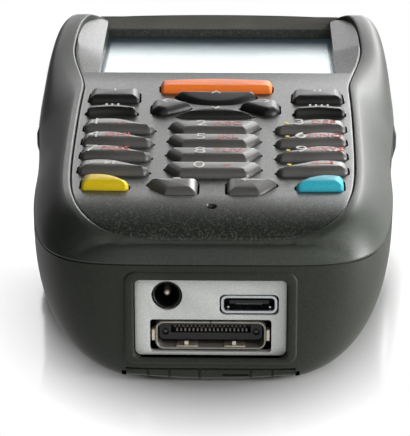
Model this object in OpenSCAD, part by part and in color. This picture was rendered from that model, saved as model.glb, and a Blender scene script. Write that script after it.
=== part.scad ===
// Handheld data collector: a rugged terminal with a display, a keypad, side triggers and a
// connector panel. It lies on its back: +X right, +Y towards the display, +Z out of the keypad.

/* [Body] */
// Length of the body along the seam of the housings
body_l = 152; // [146:1:164]
// Width of the body beside the display
head_w = 80; // [76:0.5:84]
// How much narrower each side is at the waist
waist_in = 3.5; // [2:0.1:4]
// How much narrower each side is again at the connector end
near_in = 1.5; // [0.5:0.1:2]
// Height of the seam between the housings
seam_z = 24.2; // [23.8:0.1:25]
// Width of the flat underside
flat_w = 35.4; // [35.2:0.1:40]
// Wall of the housings
wall = 2; // [1.8:0.1:2.4]
// How square the corners are at the connector end
near_power = 6; // [5:0.5:7]
// How square the corners are at the display end
head_power = 9; // [9:0.5:11]
// How far the frames at the two ends stand out of the body
frame_proud = 0.2; // [0.1:0.05:0.5]

/* [Face plate] */
// Height of the face plate's top
plate_z = 32; // [31.5:0.1:34]
// Thickness of the face plate
plate_t = 3; // [2.6:0.1:3.2]
// Width of the housing's shoulder beside the keypad
shoulder_in = 7; // [6.5:0.1:7.5]
// Width of the housing's shoulder beside the display
ear_in = 6.5; // [6.2:0.1:7]
// Drop of the face plate at its rounded connector end
nose_drop = 5; // [4:0.25:5]
// Length of the rounded stretch of the connector end
nose_l = 15.6; // [15:0.1:17]
// Rise of the face plate from the keypad to the ears beside the display
brow_rise = 3.8; // [3:0.1:4.5]
// Width of the housing's rim beside the keypad
rim_w = 1.5; // [1.2:0.1:2]
// Height of the rim above the face plate
rim_h = 0.5; // [0.2:0.1:1]
// Ledge that carries the face plate
ledge_w = 0.8; // [0.6:0.1:0.9]
// Diameter of the microphone hole
mic_hole_d = 1.6; // [1:0.1:2]

/* [Display] */
// Distance from the side of the body to the display
view_in = 13.3; // [13:0.1:15]
// Length of the brow beyond the display
brow_l = 3.8; // [3.6:0.1:6]
// Height of the glass
glass_z = 30; // [29.8:0.1:30.4]
// Thickness of the glass
glass_t = 1.5; // [1:0.1:2]
// Thickness of the display module
lcd_t = 4; // [3:0.1:4]

/* [Keys] */
// Height of a key above the face plate
key_h = 1.7; // [1.2:0.1:2.4]
// Travel of a key
key_travel = 0.8; // [0.5:0.1:0.9]
// Distance between the rows of number keys
row_pitch = 9.4; // [9.3:0.1:9.6]
// Travel of a side trigger
trigger_travel = 0.8; // [0.5:0.1:1]
// Length of a side trigger
trigger_l = 32; // [28:1:34]
// Height of a side trigger
trigger_h = 9.8; // [8:0.2:9.8]
// How far a trigger stands out of the body
trigger_proud = 0.3; // [0.2:0.1:1]

/* [Connectors] */
// Width of the connector panel
panel_w = 28.4; // [27.5:0.2:29]
// Height of the connector panel
panel_h = 15.4; // [15:0.1:16]
// Height of the panel's centre above the underside
panel_z = 13.3; // [13:0.1:13.5]
// Diameter of the hole for the power plug
jack_d = 5.5; // [5:0.1:5.8]
// Diameter of the power jack's centre pin
jack_pin_d = 1.4; // [1:0.1:2]
// Width of the small serial socket's shell
usb_w = 10.2; // [9.5:0.1:10.6]
// Height of the small serial socket's shell
usb_h = 3.2; // [2.8:0.1:3.4]
// Width of the docking connector's shell
dock_w = 20.8; // [19:0.2:21.6]
// Height of the docking connector's shell
dock_h = 5.6; // [5:0.1:5.9]
// Number of contacts in a row of the docking connector
dock_contacts_n = 18; // [10:1:22]

/* [Power and scanner] */
// Flat strip beside the battery door
door_in = 2; // [1.9:0.1:3]
// Length of the battery door's flat
door_l = 67; // [64:1:69]
// Thickness of the battery door
door_t = 2; // [1.8:0.1:2.2]
// Thickness of the battery pack
battery_t = 8.4; // [7:0.1:8.6]
// Width of the scan window
scan_w = 26; // [22:0.5:28]
// Height of the scan window
scan_h = 10; // [8:0.5:11]
// Diameter of the speaker
speaker_d = 16; // [12:0.5:18]
// Diameter of the housing screws' shanks
screw_d = 2.5; // [2:0.1:2.8]

/* [Fits] */
// Gap around a piece that moves
slide_gap = 0.35; // [0.3:0.05:0.4]
// Gap around a piece that is fixed in its place
fit_gap = 0.15; // [0.1:0.05:0.2]

/* [Hidden] */
$fn = 48;
outline_n = 80;
rear_steps = 8;
front_steps = 6;
eps = 0.01;
far_away = 100;

// Ends of the seam, of the rim, of the face plate and of the flat underside, from the centre
half_l = body_l / 2;
end_l = half_l + frame_proud;
rim_near = half_l - 1.6;
rim_far = half_l - 2.8;
plate_near = half_l - 2.8;
plate_far = half_l - 4;
flat_end = half_l - 4;
flat_half = flat_w / 2;
waist_w = head_w - 2 * waist_in;
near_w = waist_w - 2 * near_in;
plate_head_w = head_w - 2 * ear_in;
plate_waist_w = waist_w - 2 * shoulder_in;
plate_near_w = near_w - 2 * shoulder_in;
nose_y = -half_l + 18;
nose_steps = 12;
brow_steps = 8;
dip_steps = 4;

// The keypad is drawn on a body 152 long and a face plate 59 wide, and stretches with the two
pad_k = body_l / 152;
pad_kx = plate_waist_w / 59;
near_run = pad_k * [-70, -25];
head_run = pad_k * [-30, 25];
plate_run = pad_k * [-65, 15];
ear_run = pad_k * [14, 44];
brow_run = pad_k * [20, 66];
dip_run = pad_k * [66, 72];
brow_dip = 1.2;
far_dip = 1.3;
curve_run = pad_k * [5, 40];
keypad_curve = 1.25;
head_curve = 2.85;
end_curve = 2.4;
back_curve = 2.5;

// Display
view_y0 = pad_k * 27.7;
view_y1 = plate_far - brow_l;
view_l = view_y1 - view_y0;
view_w = head_w - 2 * view_in;
view_half = view_w / 2;
ear_top_half = plate_head_w / 2 + 3;
well_z0 = plate_z - 0.3;
well_rise = 0.55 * brow_rise;
well_h = 0.3 * (ear_top_half - view_half);
brow_lean = 2.6;
glass_margin = 1.4;
glass_far_margin = 0.6;
glass_half = view_half + glass_margin;
glass_y0 = view_y0 - glass_margin;
glass_y1 = view_y1 + glass_far_margin;
glass_bottom = glass_z - glass_t;
lcd_bottom = glass_bottom - lcd_t;
lcd_margin = 0.5;
tray_t = 0.8;
tray_side = 0.4;
ear_half = 2;
ear_reach = 1.2;

// Heights of the keypad's layers
plate_bottom = plate_z - plate_t;
key_top = plate_z + key_h;
key_skirt = 2;
key_bottom = plate_bottom - key_skirt;
tab_h = 1.5;
tab_reach = 0.5;
tab_half_w = 1;
dome_r = 2;
dome_h = 0.7;
press_gap = 0.1;
key_board_t = 1.2;
key_board_top = key_bottom - key_travel - press_gap - dome_h;
key_board_bottom = key_board_top - key_board_t;
key_board_half = pad_kx * 25.5;
key_board_near_y = -pad_k * 67.5;
key_board_neck_y = -pad_k * 59.5;
key_board_far_y = glass_y0 - 3;
tongue_half = pad_kx * 15;
post_r = 1.2;
post_hole_r = 0.8;
post_screw_r = 0.75;
side_margin = 1.6;
mic_y = -pad_k * 64.1;
mic_r = 2;
mic_h = 1.8;

// Main board and what stands on it
main_t = 1;
main_top = panel_z + 0.6;
main_bottom = main_top - main_t;
main_near_half = 15.5;
main_near_y = -half_l + 3.6;
main_far_y = half_l - 5.5;
main_neck_y = -half_l + 18;
wing_half = 28;
wing_half_l = 5;

link_half = 7;
link_y = key_board_far_y - 1.5;
link_t = 0.4;
radio_y = pad_k * [-36, -4];
radio_half = 14;
radio_h = 3;
cell_at = [-10, pad_k * 36];
cell_r = 6;
cell_h = 3;

// Battery bay under the main board
door_half = flat_half - door_in;
battery_l = door_l - 16;
tongue_w = 0.8;
door_far_y = -flat_end + door_l;
battery_half = door_half;
bay_gap = 0.3;
bay_half = battery_half + bay_gap;
bay_wall = 2.6;
bay_end = 1.5;
bay_base = wall - 0.2;
battery_z = door_t + 0.5;
battery_top = battery_z + battery_t;
battery_far_y = door_far_y - 4;
battery_near_y = battery_far_y - battery_l;
bay_far_y = battery_far_y + 3.5;
bay_near_y = battery_near_y - bay_gap;
bay_roof_z = battery_top + bay_gap;
bay_roof_t = 1;
contact_l = 1.5;
contact_x = [-5, 0, 5];
door_lip_z = 2.8;
door_lip_l = 2.6;
door_rise_y = -flat_end + 1;
door_bevel_z = 1.2;
door_foot_z = 0.5;
tongue_lift = 0.2;
groove_gap = 0.3;

// Speaker behind the battery
speaker_y = door_far_y + 6 + speaker_d / 2;
speaker_h = 4.5;
sound_ring_r = 5;
sound_hole_r = 0.8;

// Connector panel and its ports, in the end wall
panel_y = -half_l + 1.5;
flange_y = -half_l + 2.4;
flange_back = -half_l + 3.1;
frame_w = 2;
frame_half = panel_w / 2 + frame_w;
frame_z0 = panel_z - panel_h / 2 - 1.3;
frame_z1 = panel_z + panel_h / 2 + 1.9;
pad_w = 1.8;
pad_below = 1.2;
pad_above = 0.3;
pad_face_y = -half_l + 1.2;
panel_flange = 1.2;
flange_w = panel_w + 2 * panel_flange;
flange_h = panel_h + 2 * panel_flange;
panel_r = 1.2;
jack_at = [-8.2, panel_z + 4.2];
usb_at = [7.2, panel_z + 2.45];
dock_at = [0, panel_z - 3.85];
jack_half = jack_d / 2 + 1.1;
jack_l = 12;
jack_deep = 9;
port_gap = 0.45;
dock_gap = 0.5;
shell_t = 0.4;
usb_r = 1;
dock_r = 1.6;
foot_half = 0.8;
foot_y = [-3, -1];
tongue_t = 0.6;
dock_tongue_t = 1.6;
dock_tail = 2.4;
contact_pad = [0.4, 0.2];
port_y = panel_y + 0.2;
usb_back = port_y + 8;
dock_back = port_y + 9.5;

// Scanner at the far end
scan_z = 14;
pane_lip = 1.6;
pane_t = 1.6;
pane_front = 1.8;
engine_gap = 0.6;
engine_half = 10.5;
engine_l = 16;
engine_h = 7;
mouth_half = 7;
mouth_l = 3;
mouth_z = [1.5, 5.5];
scan_wall_y = half_l - 3;
scan_half = scan_w / 2 + frame_w;

// Side triggers, in the rear housing
trigger_y = pad_k * 14;
trigger_z = 13;
trigger_out = head_w / 2 + trigger_proud;
trigger_in = head_w / 2 - 3.8;
pocket_in = trigger_in - trigger_travel - 0.3;
pocket_wall = 2;
pocket_out = head_w / 2 - 4.2;
pocket_top = trigger_z + trigger_h + 0.9;
trigger_lean = 1.6;
trigger_bend = 0.6;
trigger_radii = [0.3, 1.4, 4, 1.4, 0.3];
stem_r = 1.2;
stem_y = trigger_y + 2;
stem_z = trigger_z + 3;
switch_w = 5.4;
switch_half_l = 3;
switch_up = 2.4;
switch_out = 27.4;
stem_in = switch_out + trigger_travel + 0.1;

// Screws of the housings: two at the connector end and two beside the display
near_screw = [near_w / 2 - 12.5, -half_l + 11.5];
far_screw = [head_w / 2 - 7, pad_k * 55];
boss_r = 3.2;
screw_head_r = 2.6;
screw_head_h = 1.8;
head_gap = 0.2;
near_head_z = 7;
far_head_z = 15;
screw_tip_z = seam_z + 2.6;

thread_gap = 0.05;
tip_gap = 0.2;
near_boss_h = 3;
far_boss_h = 4;
web_half = 1.2;
web_out = near_w / 2 - 6;
near_boss_under = 3;
far_boss_under = 7;

// Inside of the front housing: the step beside the gasket, the shoulder over it and the ledge
step_w = wall + 0.9;
step_h = 1.5;
shoulder_w = wall + 2.4;
ledge_t = 1.8;

// Gasket in the seam
gasket_in = 0.7;
gasket_w = 0.7;
gasket_h = 1;
gasket_gap = fit_gap / 3;

function smooth(a, b, t) = let (u = max(0, min(1, (t - a) / (b - a)))) u * u * (3 - 2 * u);
function along(run, y) = smooth(run[0], run[1], y);

// Half-widths along the length: of the seam, of the face plate and of the housing's rim
function seam_half(y) = near_w / 2 + (waist_w - near_w) / 2 * along(near_run, y)
    + (head_w - waist_w) / 2 * along(head_run, y);
function plate_half(y) = plate_near_w / 2 + (plate_waist_w - plate_near_w) / 2 * along(plate_run, y)
    + (plate_head_w - plate_waist_w) / 2 * along(ear_run, y);
function rim_half(y) = plate_half(y) + rim_w + along(ear_run, y);

// Heights along the length: of the face plate's rounded nose, of its top and floor, and of the rim
function nose(y) = let (u = min(1, max(0, (nose_y - y) / nose_l))) 1 - sqrt(1 - u * u);
function plate_top(y) = plate_z - nose_drop * nose(y) + brow_rise * along(brow_run, y)
    - brow_dip * along(dip_run, y);
function rim_top(y) = plate_top(y) + rim_h - far_dip * along(dip_run, y);
function plate_floor(y) = plate_bottom - nose_drop * nose(y);
// Height at which the slopes around the display end, above the walls down to the glass
function well_z(y) = well_z0 + well_rise * (y - view_y0) / view_l;

// Unit outline with rounded corners, from the angle
function squircle(a) = let (
    c = cos(a), s = sin(a), p = s < 0 ? near_power : head_power,
    r = pow(pow(abs(c), p) + pow(abs(s), p), -1 / p)
) [c * r, s * r];

// Outline whose half-width changes along its length
function plate_outline(grow) = [for (i = [0 : outline_n - 1]) let (
    q = squircle(360 * i / outline_n), y = q[1] * ((q[1] < 0 ? plate_near : plate_far) + grow)
) [q[0] * (plate_half(y) + grow), y]];
function seam_outline(grow) = [for (i = [0 : outline_n - 1]) let (
    q = squircle(360 * i / outline_n), y = q[1] * (half_l + grow)
) [q[0] * (seam_half(y) + grow), y]];

// One ring of the rear housing's skin, from the seam at 0 degrees to the underside at 90 degrees
function rear_ring(t, inset) = let (
    p = 2 / back_curve, c = pow(cos(t), p), s = pow(sin(t), p), e = pow(1 - pow(s, 4), 1 / 4),
    l = flat_end + (half_l - flat_end) * e - inset
) [for (i = [0 : outline_n - 1]) let (
    q = squircle(360 * i / outline_n), y = q[1] * l, flat = flat_half - inset / 2
) [q[0] * (flat + (seam_half(y) - inset - flat) * c), y, inset + (seam_z - inset) * (1 - s)]];

// One ring of the front housing's skin, from the seam at 0 degrees to the rim at 90 degrees
function front_ring(t) = let (c = pow(cos(t), 2 / end_curve)) [for (i = [0 : outline_n - 1]) let (
    q = squircle(360 * i / outline_n), end = q[1] < 0 ? rim_near : rim_far,
    y = q[1] * (end + (half_l - end) * c),
    power = 2 / (keypad_curve + (head_curve - keypad_curve) * along(curve_run, y)),
    x = rim_half(y) + (seam_half(y) - rim_half(y)) * pow(cos(t), power)
) [q[0] * x, y, seam_z + (rim_top(y) - seam_z) * pow(sin(t), power)]];

// Solid through rings from the lowest to the highest, closed by a fan at each end
module loft(rings, low, high) {
    n = len(rings[0]);
    m = len(rings) - 1;
    sides = [for (k = [0 : m - 1], i = [0 : n - 1]) let (a = k * n + i, b = k * n + (i + 1) % n)
        each [[a, a + n, b + n], [a, b + n, b]]];
    caps = [for (i = [0 : n - 1]) let (j = (i + 1) % n)
        each [[i, j, (m + 1) * n], [m * n + j, m * n + i, (m + 1) * n + 1]]];
    polyhedron(concat([for (r = rings) each r], [[0, 0, low], [0, 0, high]]), concat(sides, caps),
        convexity = 6);
}

// Corners turned into arcs, each with its own radius
function rounded(points, radii, n = 5) = let (m = len(points)) [for (i = [0 : m - 1]) let (
    p = points[i], u = unit(points[(i + m - 1) % m] - p), v = unit(points[(i + 1) % m] - p),
    bend = acos(u * v), r = radii[i], centre = p + unit(u + v) * r / sin(bend / 2),
    a = p + u * r / tan(bend / 2) - centre, b = p + v * r / tan(bend / 2) - centre, sweep = 180 - bend
) for (k = [0 : n]) centre + (a * sin(sweep * (1 - k / n)) + b * sin(sweep * k / n)) / sin(sweep)];
function unit(v) = v / norm(v);
function box_points(w, h) = [[-w / 2, -h / 2], [w / 2, -h / 2], [w / 2, h / 2], [-w / 2, h / 2]];
function round_box(w, h, r) = rounded(box_points(w, h), [r, r, r, r]);
function flipped(points) = [for (i = [len(points) - 1 : -1 : 0]) [-points[i][0], points[i][1]]];
function backwards(list) = [for (i = [len(list) - 1 : -1 : 0]) list[i]];
function lowest(points, axis) = min([for (p = points) p[axis]]);
function highest(points, axis) = max([for (p = points) p[axis]]);

module slab(z0, z1) { translate([0, 0, z0]) linear_extrude(z1 - z0) children(); }
module block(a, b) { translate(a) cube(b - a); }
module rod(p, r, z0, z1) { translate([p[0], p[1], z0]) cylinder(r = r, h = z1 - z0); }
module both() { children(); mirror([1, 0, 0]) children(); }
// Outline in X and Z, drawn out along Y
module bar_y(at, y0, y1) {
    translate([at[0], y1, at[1]]) rotate([90, 0, 0]) linear_extrude(y1 - y0) children();
}
// Outline in Y and Z, drawn out along X
module bar_x(half) { translate([-half, 0, 0]) rotate([90, 0, 90]) linear_extrude(2 * half) children(); }

// Steps along the face plate's side view, and what lies under or over its top and floor
side_y = concat([-far_away],
    [for (k = [nose_steps : -1 : 0]) nose_y - nose_l * sin(90 * k / nose_steps)],
    [for (k = [0 : brow_steps]) brow_run[0] + (brow_run[1] - brow_run[0]) * k / brow_steps],
    [for (k = [1 : dip_steps]) dip_run[0] + (dip_run[1] - dip_run[0]) * k / dip_steps],
    [far_away]);
below = [[far_away, 0], [-far_away, 0]];
above = [[far_away, far_away], [-far_away, far_away]];
module under_top() {
    bar_x(far_away) polygon(concat([for (y = side_y) [y, plate_top(y)]], below));
}
module under_floor(drop) {
    bar_x(far_away) polygon(concat([for (y = side_y) [y, plate_floor(y) - drop]], below));
}
module over_floor() {
    bar_x(far_away) polygon(concat([for (y = side_y) [y, plate_floor(y)]], above));
}

// Keys: name, corners, radii and colour, in the keypad's own frame
key_grey = "#5f5c58";
function key_out(y) = (plate_half(pad_k * y) - side_margin) / pad_kx;
row_y = [for (r = [0 : 3]) -15.3 - row_pitch * r];
centre_drop = 1.3;
function wing_key(y) = let (x = key_out(y)) [
    [-x, y - 2.6], [-20, y - 3.4], [-13.4, y - 3.6], [-12.2, y - 1.8], [-21.5, y + 4.6], [-x, y + 2.2]];
wing_radii = [1.2, 20, 0.9, 0.6, 7.5, 1.2];
function hex_key(y) = let (c = y - centre_drop) [
    [-6.8, c - 3.5], [6.8, c - 3.5], [9.7, c + 1.6], [8.6, c + 3.5], [-8.6, c + 3.5], [-9.7, c + 1.6]];
hex_radii = [1, 1, 0.8, 0.6, 0.6, 0.8];
upper_key = [[-27.8, 3.6], [-16.6, 3.6], [-16.9, 11.5], [-27.6, 11.4]];
lower_key = [[-27.7, -6.4], [-22.2, -5], [-16.6, -6.4], [-16.8, -3.8], [-22.2, -1.2], [-27.7, -3.6]];
fin_key = [[-25.4, -55.7], [-16.2, -55.9], [-16.2, -53.6], [-20.6, -48], [-25.5, -50]];
tab_key = [[-9.3, -58.3], [-2.8, -58.3], [-2.8, -51.4], [-12.2, -51.5], [-12.6, -53]];
scan_key = [[-11.6, 11.8], [11.6, 11.8], [12.5, 13.2], [12.5, 17.4], [0, 19.2], [-12.5, 17.4],
    [-12.5, 13.2]];
up_key = [[-4.4, 2.6], [4.4, 2.6], [8.9, 8.4], [8.4, 9.8], [-8.4, 9.8], [-8.9, 8.4]];
down_key = [[-8.8, -7.2], [8.8, -7.2], [3.6, -3.4], [-3.6, -3.4]];
left_key = [[-13.8, -4.4], [-11, -6.4], [-5, -0.4], [-10.3, 4.2], [-13.8, 2]];
left_radii = [1.8, 2, 0.6, 2, 1.8];
square_radii = [1, 1, 1, 1];
lower_radii = [0.8, 14, 0.8, 0.8, 8, 0.8];
fin_radii = [0.8, 0.8, 0.8, 6, 1];
tab_radii = [1, 0.7, 0.7, 0.5, 0.6];
scan_radii = [0.8, 0.8, 0.8, 1.2, 40, 1.2, 0.8];
up_radii = [1, 1, 0.7, 0.7, 0.7, 0.7];

KEYS = concat(
    [["scan_key", scan_key, scan_radii, "#ee7426"], ["up_key", up_key, up_radii, key_grey],
    ["down_key", down_key, [0.7, 0.7, 1, 1], key_grey], ["left_key", left_key, left_radii, key_grey],
    ["right_key", flipped(left_key), backwards(left_radii), key_grey],
    ["upper_left_key", upper_key, square_radii, key_grey],
    ["upper_right_key", flipped(upper_key), square_radii, key_grey],
    ["lower_left_key", lower_key, lower_radii, key_grey],
    ["lower_right_key", flipped(lower_key), backwards(lower_radii), key_grey],
    ["yellow_key", fin_key, fin_radii, "#e0c42c"],
    ["cyan_key", flipped(fin_key), backwards(fin_radii), "#3fb6c8"],
    ["grey_left_key", tab_key, tab_radii, key_grey],
    ["grey_right_key", flipped(tab_key), backwards(tab_radii), key_grey]],
    [for (r = [0 : 3]) each [
        [["key_1", "key_4", "key_7", "tab_key"][r], wing_key(row_y[r]), wing_radii, key_grey],
        [["key_2", "key_5", "key_8", "key_0"][r], hex_key(row_y[r]), hex_radii, key_grey],
        [["key_3", "key_6", "key_9", "enter_key"][r],
            flipped(wing_key(row_y[r])), backwards(wing_radii), key_grey]]]);

// A key's outline, and the point over its switch
function key_shape(k, grow = 0) = let (
    o = [for (p = rounded(k[1], k[2])) [pad_kx * p[0], pad_k * p[1]]], c = key_centre(k),
    w = (highest(o, 0) - lowest(o, 0)) / 2,
    h = (highest(o, 1) - lowest(o, 1)) / 2
) [for (p = o) [c[0] + (p[0] - c[0]) * (1 + grow / w), c[1] + (p[1] - c[1]) * (1 + grow / h)]];
function key_centre(k) = [for (axis = [0, 1])
    (axis ? pad_k : pad_kx) * (lowest(k[1], axis) + highest(k[1], axis)) / 2];

// Posts of the face plate that carry the keypad board, and those that carry the display tray
board_posts = [for (p = [[20, 16.5], [12.5, -10], [11.5, -30], [12.4, -49.4]])
    [pad_kx * p[0], pad_k * p[1]]];
tray_posts = [for (y = [38, 62]) [glass_half + 0.3 + post_r, pad_k * y]];
main_screw_x = bay_half + bay_wall / 2;
main_half = main_screw_x + 3.2;
main_posts = [for (y = [25, 60]) [main_screw_x, pad_k * y]];
main_screws = concat([for (y = [-50, -14]) [main_screw_x, pad_k * y]], main_posts);
main_post_r = 2.4;
main_screw_l = 5;
main_hole_l = main_screw_l + 0.4;
small_head_r = 1.7;
tray_head_r = 1.3;
small_head_h = 1.2;

module gasket_groove(gap) {
    slab(seam_z - gasket_h / 2 - gap, seam_z + gasket_h / 2 + gap) difference() {
        polygon(seam_outline(-gasket_in + gap));
        polygon(seam_outline(-gasket_in - gasket_w - gap));
    }
}

module front_housing() {
    rim_inner = [for (p = plate_outline(-ledge_w)) [p[0], p[1], rim_top(p[1])]];
    color("#45494a") difference() {
        union() {
            difference() {
                loft(concat([for (k = [0 : front_steps]) front_ring(90 * k / front_steps)], [rim_inner]),
                    seam_z, plate_z);
                intersection() {
                    slab(seam_z - 1, far_away) polygon(plate_outline(fit_gap));
                    over_floor();
                }
                slab(seam_z - 1, far_away) polygon(plate_outline(-ledge_w));
                intersection() {
                    union() {
                        slab(seam_z - 1, seam_z + step_h) polygon(seam_outline(-step_w));
                        slab(seam_z, plate_bottom) polygon(seam_outline(-shoulder_w));
                    }
                    under_floor(ledge_t);
                }
            }
            both() {
                rod(near_screw, boss_r, seam_z, seam_z + near_boss_h);
                block([near_screw[0], near_screw[1] - web_half, seam_z],
                    [web_out, near_screw[1] + web_half, seam_z + near_boss_h]);
                rod(far_screw, boss_r, seam_z, seam_z + far_boss_h);
            }
        }
        both() for (p = [near_screw, far_screw])
            rod(p, screw_d / 2 + thread_gap, seam_z - 1, screw_tip_z + tip_gap);
        gasket_groove(gasket_gap);
    }
}

// The rear housing's skin, carried on above the seam by a given height
module rear_skin(inset, above) {
    rings = [for (k = [0 : rear_steps]) rear_ring(90 - 90 * k / rear_steps, inset)];
    raised = [for (p = rings[rear_steps]) p + [0, 0, above]];
    loft(above > 0 ? concat(rings, [raised]) : rings, inset, seam_z + above);
}

module rear_housing() {
    color("#2c2f2f") difference() {
        union() {
            difference() {
                rear_skin(0, 0);
                rear_skin(wall, 1);
            }
            // Raised frame around the connector panel, with a flat face behind it
            block([-frame_half, -end_l, frame_z0], [frame_half, flange_y, frame_z1]);
            block([-frame_half - pad_w, pad_face_y, frame_z0 - pad_below],
                [frame_half + pad_w, flange_y, frame_z1 + pad_above]);
            // Frame around the scan window
            block([-scan_half, scan_wall_y, scan_z - scan_h / 2 - frame_w],
                [scan_half, end_l, scan_z + scan_h / 2 + frame_w]);
            // Battery bay
            both() block([bay_half, bay_near_y - bay_end, bay_base],
                [bay_half + bay_wall, bay_far_y, main_bottom]);
            block([-bay_half - bay_wall, bay_far_y - eps, bay_base],
                [bay_half + bay_wall, bay_far_y + bay_end, main_bottom]);
            block([-bay_half - eps, bay_near_y - bay_end, bay_roof_z],
                [bay_half + eps, battery_far_y - 1, bay_roof_z + bay_roof_t]);
            both() {
                for (p = main_posts) rod(p, main_post_r, bay_base, main_bottom);
                rod(near_screw, boss_r, near_head_z - near_boss_under, seam_z);
                rod(far_screw, boss_r, far_head_z - far_boss_under, seam_z);
                block([pocket_in, trigger_y, trigger_z] - pocket_wall * [1, 1, 1],
                    [pocket_out, trigger_y + trigger_l + pocket_wall, pocket_top]);
            }
        }
        // Openings in the end walls, and the seat of the panel's flange
        bar_y([0, panel_z], -far_away, flange_y + eps)
            polygon(round_box(panel_w + 2 * fit_gap, panel_h + 2 * fit_gap, panel_r));
        bar_y([0, panel_z], flange_y, flange_back + 1)
            polygon(round_box(flange_w + 2 * fit_gap, flange_h + 2 * fit_gap, panel_r));
        bar_y([0, scan_z], scan_wall_y - eps, far_away) polygon(round_box(scan_w, scan_h, panel_r));
        // Door opening: the way in, the grooves of its tongues and the way in of its lip
        block([-door_half - slide_gap, -far_away, -1],
            [door_half + slide_gap, door_far_y + slide_gap, door_t / 2]);
        block([-door_half - tongue_w - slide_gap, -far_away, door_t / 2 - eps],
            [door_half + tongue_w + slide_gap, door_far_y + slide_gap, door_t + groove_gap]);
        block([-door_half - slide_gap, -far_away, door_t],
            [door_half + slide_gap, door_rise_y + slide_gap, door_lip_z + slide_gap]);
        both() {
            translate([pocket_in, trigger_y - slide_gap, trigger_z - slide_gap])
                cube([far_away, trigger_l + 2 * slide_gap, trigger_h + 2 * slide_gap]);
            translate([stem_in, stem_y, stem_z]) rotate([0, 90, 0])
                cylinder(r = stem_r + slide_gap, h = far_away);
            for (p = [near_screw, far_screw]) rod(p, screw_d / 2 + thread_gap, 0, seam_z + 1);
            rod(near_screw, screw_head_r + head_gap, -1, near_head_z);
            rod(far_screw, screw_head_r + head_gap, -1, far_head_z);
            for (p = main_screws) rod(p, post_hole_r, main_bottom - main_hole_l, main_bottom + 1);
        }
        // Sound holes
        for (a = [0 : 60 : 300])
            rod([sound_ring_r * cos(a), speaker_y + sound_ring_r * sin(a)], sound_hole_r, -1, wall + 1);
        rod([0, speaker_y], sound_hole_r, -1, wall + 1);
        gasket_groove(gasket_gap);
    }
}

module housing_gasket() { color("#202020") gasket_groove(0); }

module face_plate() {
    color("#85898a") difference() {
        union() {
            intersection() {
                slab(0, far_away) difference() {
                    polygon(plate_outline(0));
                    for (k = KEYS) polygon(key_shape(k, slide_gap));
                    translate([-view_half, view_y0]) square([view_w, view_l]);
                    translate([0, mic_y]) circle(d = mic_hole_d);
                }
                over_floor();
                under_top();
            }
            both() {
                for (p = board_posts) rod(p, post_r, key_board_top, plate_bottom + 1);
                for (p = tray_posts) rod(p, post_r, lcd_bottom, plate_bottom + 1);
            }
        }
        // Well that slopes in from the ears and the brow
        polyhedron([for (z = [0, 1], p = [[-1, 0], [1, 0], [1, 1], [-1, 1]])
            let (y = p[1] ? view_y1 + z * brow_lean : view_y0) [
            p[0] * (z ? ear_top_half : view_half), y, well_z(y) + z * well_h]],
            [[0, 1, 2, 3], [7, 6, 5, 4], [0, 4, 5, 1], [1, 5, 6, 2], [2, 6, 7, 3], [3, 7, 4, 0]]);
        block([-glass_half - fit_gap, glass_y0 - fit_gap, 0],
            [glass_half + fit_gap, glass_y1 + fit_gap, glass_z]);
        both() {
            for (p = concat(board_posts, tray_posts)) rod(p, post_hole_r, 0, plate_bottom + tip_gap);
        }
    }
}

module key(k) {
    c = key_centre(k);
    o = key_shape(k);
    color(k[3]) {
        slab(key_bottom, key_top) polygon(o);
        block([c[0] - tab_half_w, lowest(o, 1) - tab_reach, key_bottom],
            [c[0] + tab_half_w, highest(o, 1) + tab_reach, key_bottom + tab_h]);
    }
}

module display_window() {
    color("#e8ecec") block([-glass_half, glass_y0, glass_bottom], [glass_half, glass_y1, glass_z]);
}

module display_module() {
    color("#b8c0c0") block([-glass_half + lcd_margin, glass_y0 + lcd_margin, lcd_bottom],
        [glass_half - lcd_margin, glass_y1 - lcd_margin, glass_bottom]);
}

module display_tray() {
    color("#a8abad") difference() {
        union() {
            block([-glass_half, glass_y0, lcd_bottom - tray_t], [glass_half, glass_y1, lcd_bottom]);
            both() {
                block([glass_half - tray_side, glass_y0, lcd_bottom - eps],
                    [glass_half, glass_y1, glass_bottom - tip_gap]);
                for (p = tray_posts) block([glass_half - 1, p[1] - ear_half, lcd_bottom - tray_t],
                    [p[0] + ear_reach, p[1] + ear_half, lcd_bottom]);
            }
        }
        both() for (p = tray_posts) rod(p, post_hole_r, 0, far_away);
    }
}

module keypad_board() {
    color("#2f6b3c") difference() {
        union() {
            block([-key_board_half, key_board_neck_y, key_board_bottom],
                [key_board_half, key_board_far_y, key_board_top]);
            block([-tongue_half, key_board_near_y, key_board_bottom],
                [tongue_half, key_board_neck_y + 1, key_board_top]);
        }
        both() for (p = board_posts) rod(p, post_hole_r, 0, far_away);
    }
}

module dome_switches() {
    color("#c9cdd0") for (k = KEYS) rod(key_centre(k), dome_r, key_board_top, key_board_top + dome_h);
}

module main_board() {
    color("#2f6b3c") difference() {
        union() {
            block([-main_near_half, main_near_y, main_bottom],
                [main_near_half, main_neck_y + 1, main_top]);
            block([-main_half, main_neck_y, main_bottom], [main_half, main_far_y, main_top]);
            block([-wing_half, stem_y - wing_half_l, main_bottom],
                [wing_half, stem_y + wing_half_l, main_top]);
        }
        both() for (p = main_screws) rod(p, post_hole_r, 0, far_away);
    }
}

module board_link() {
    color("#c08a3e") block([-link_half, link_y, main_top], [link_half, link_y + link_t, key_board_bottom]);
}

module side_switches() {
    color("#b0b3b5") both()
        block([switch_out - switch_w, stem_y - switch_half_l, main_top],
            [switch_out, stem_y + switch_half_l, stem_z + switch_up]);
}

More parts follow.
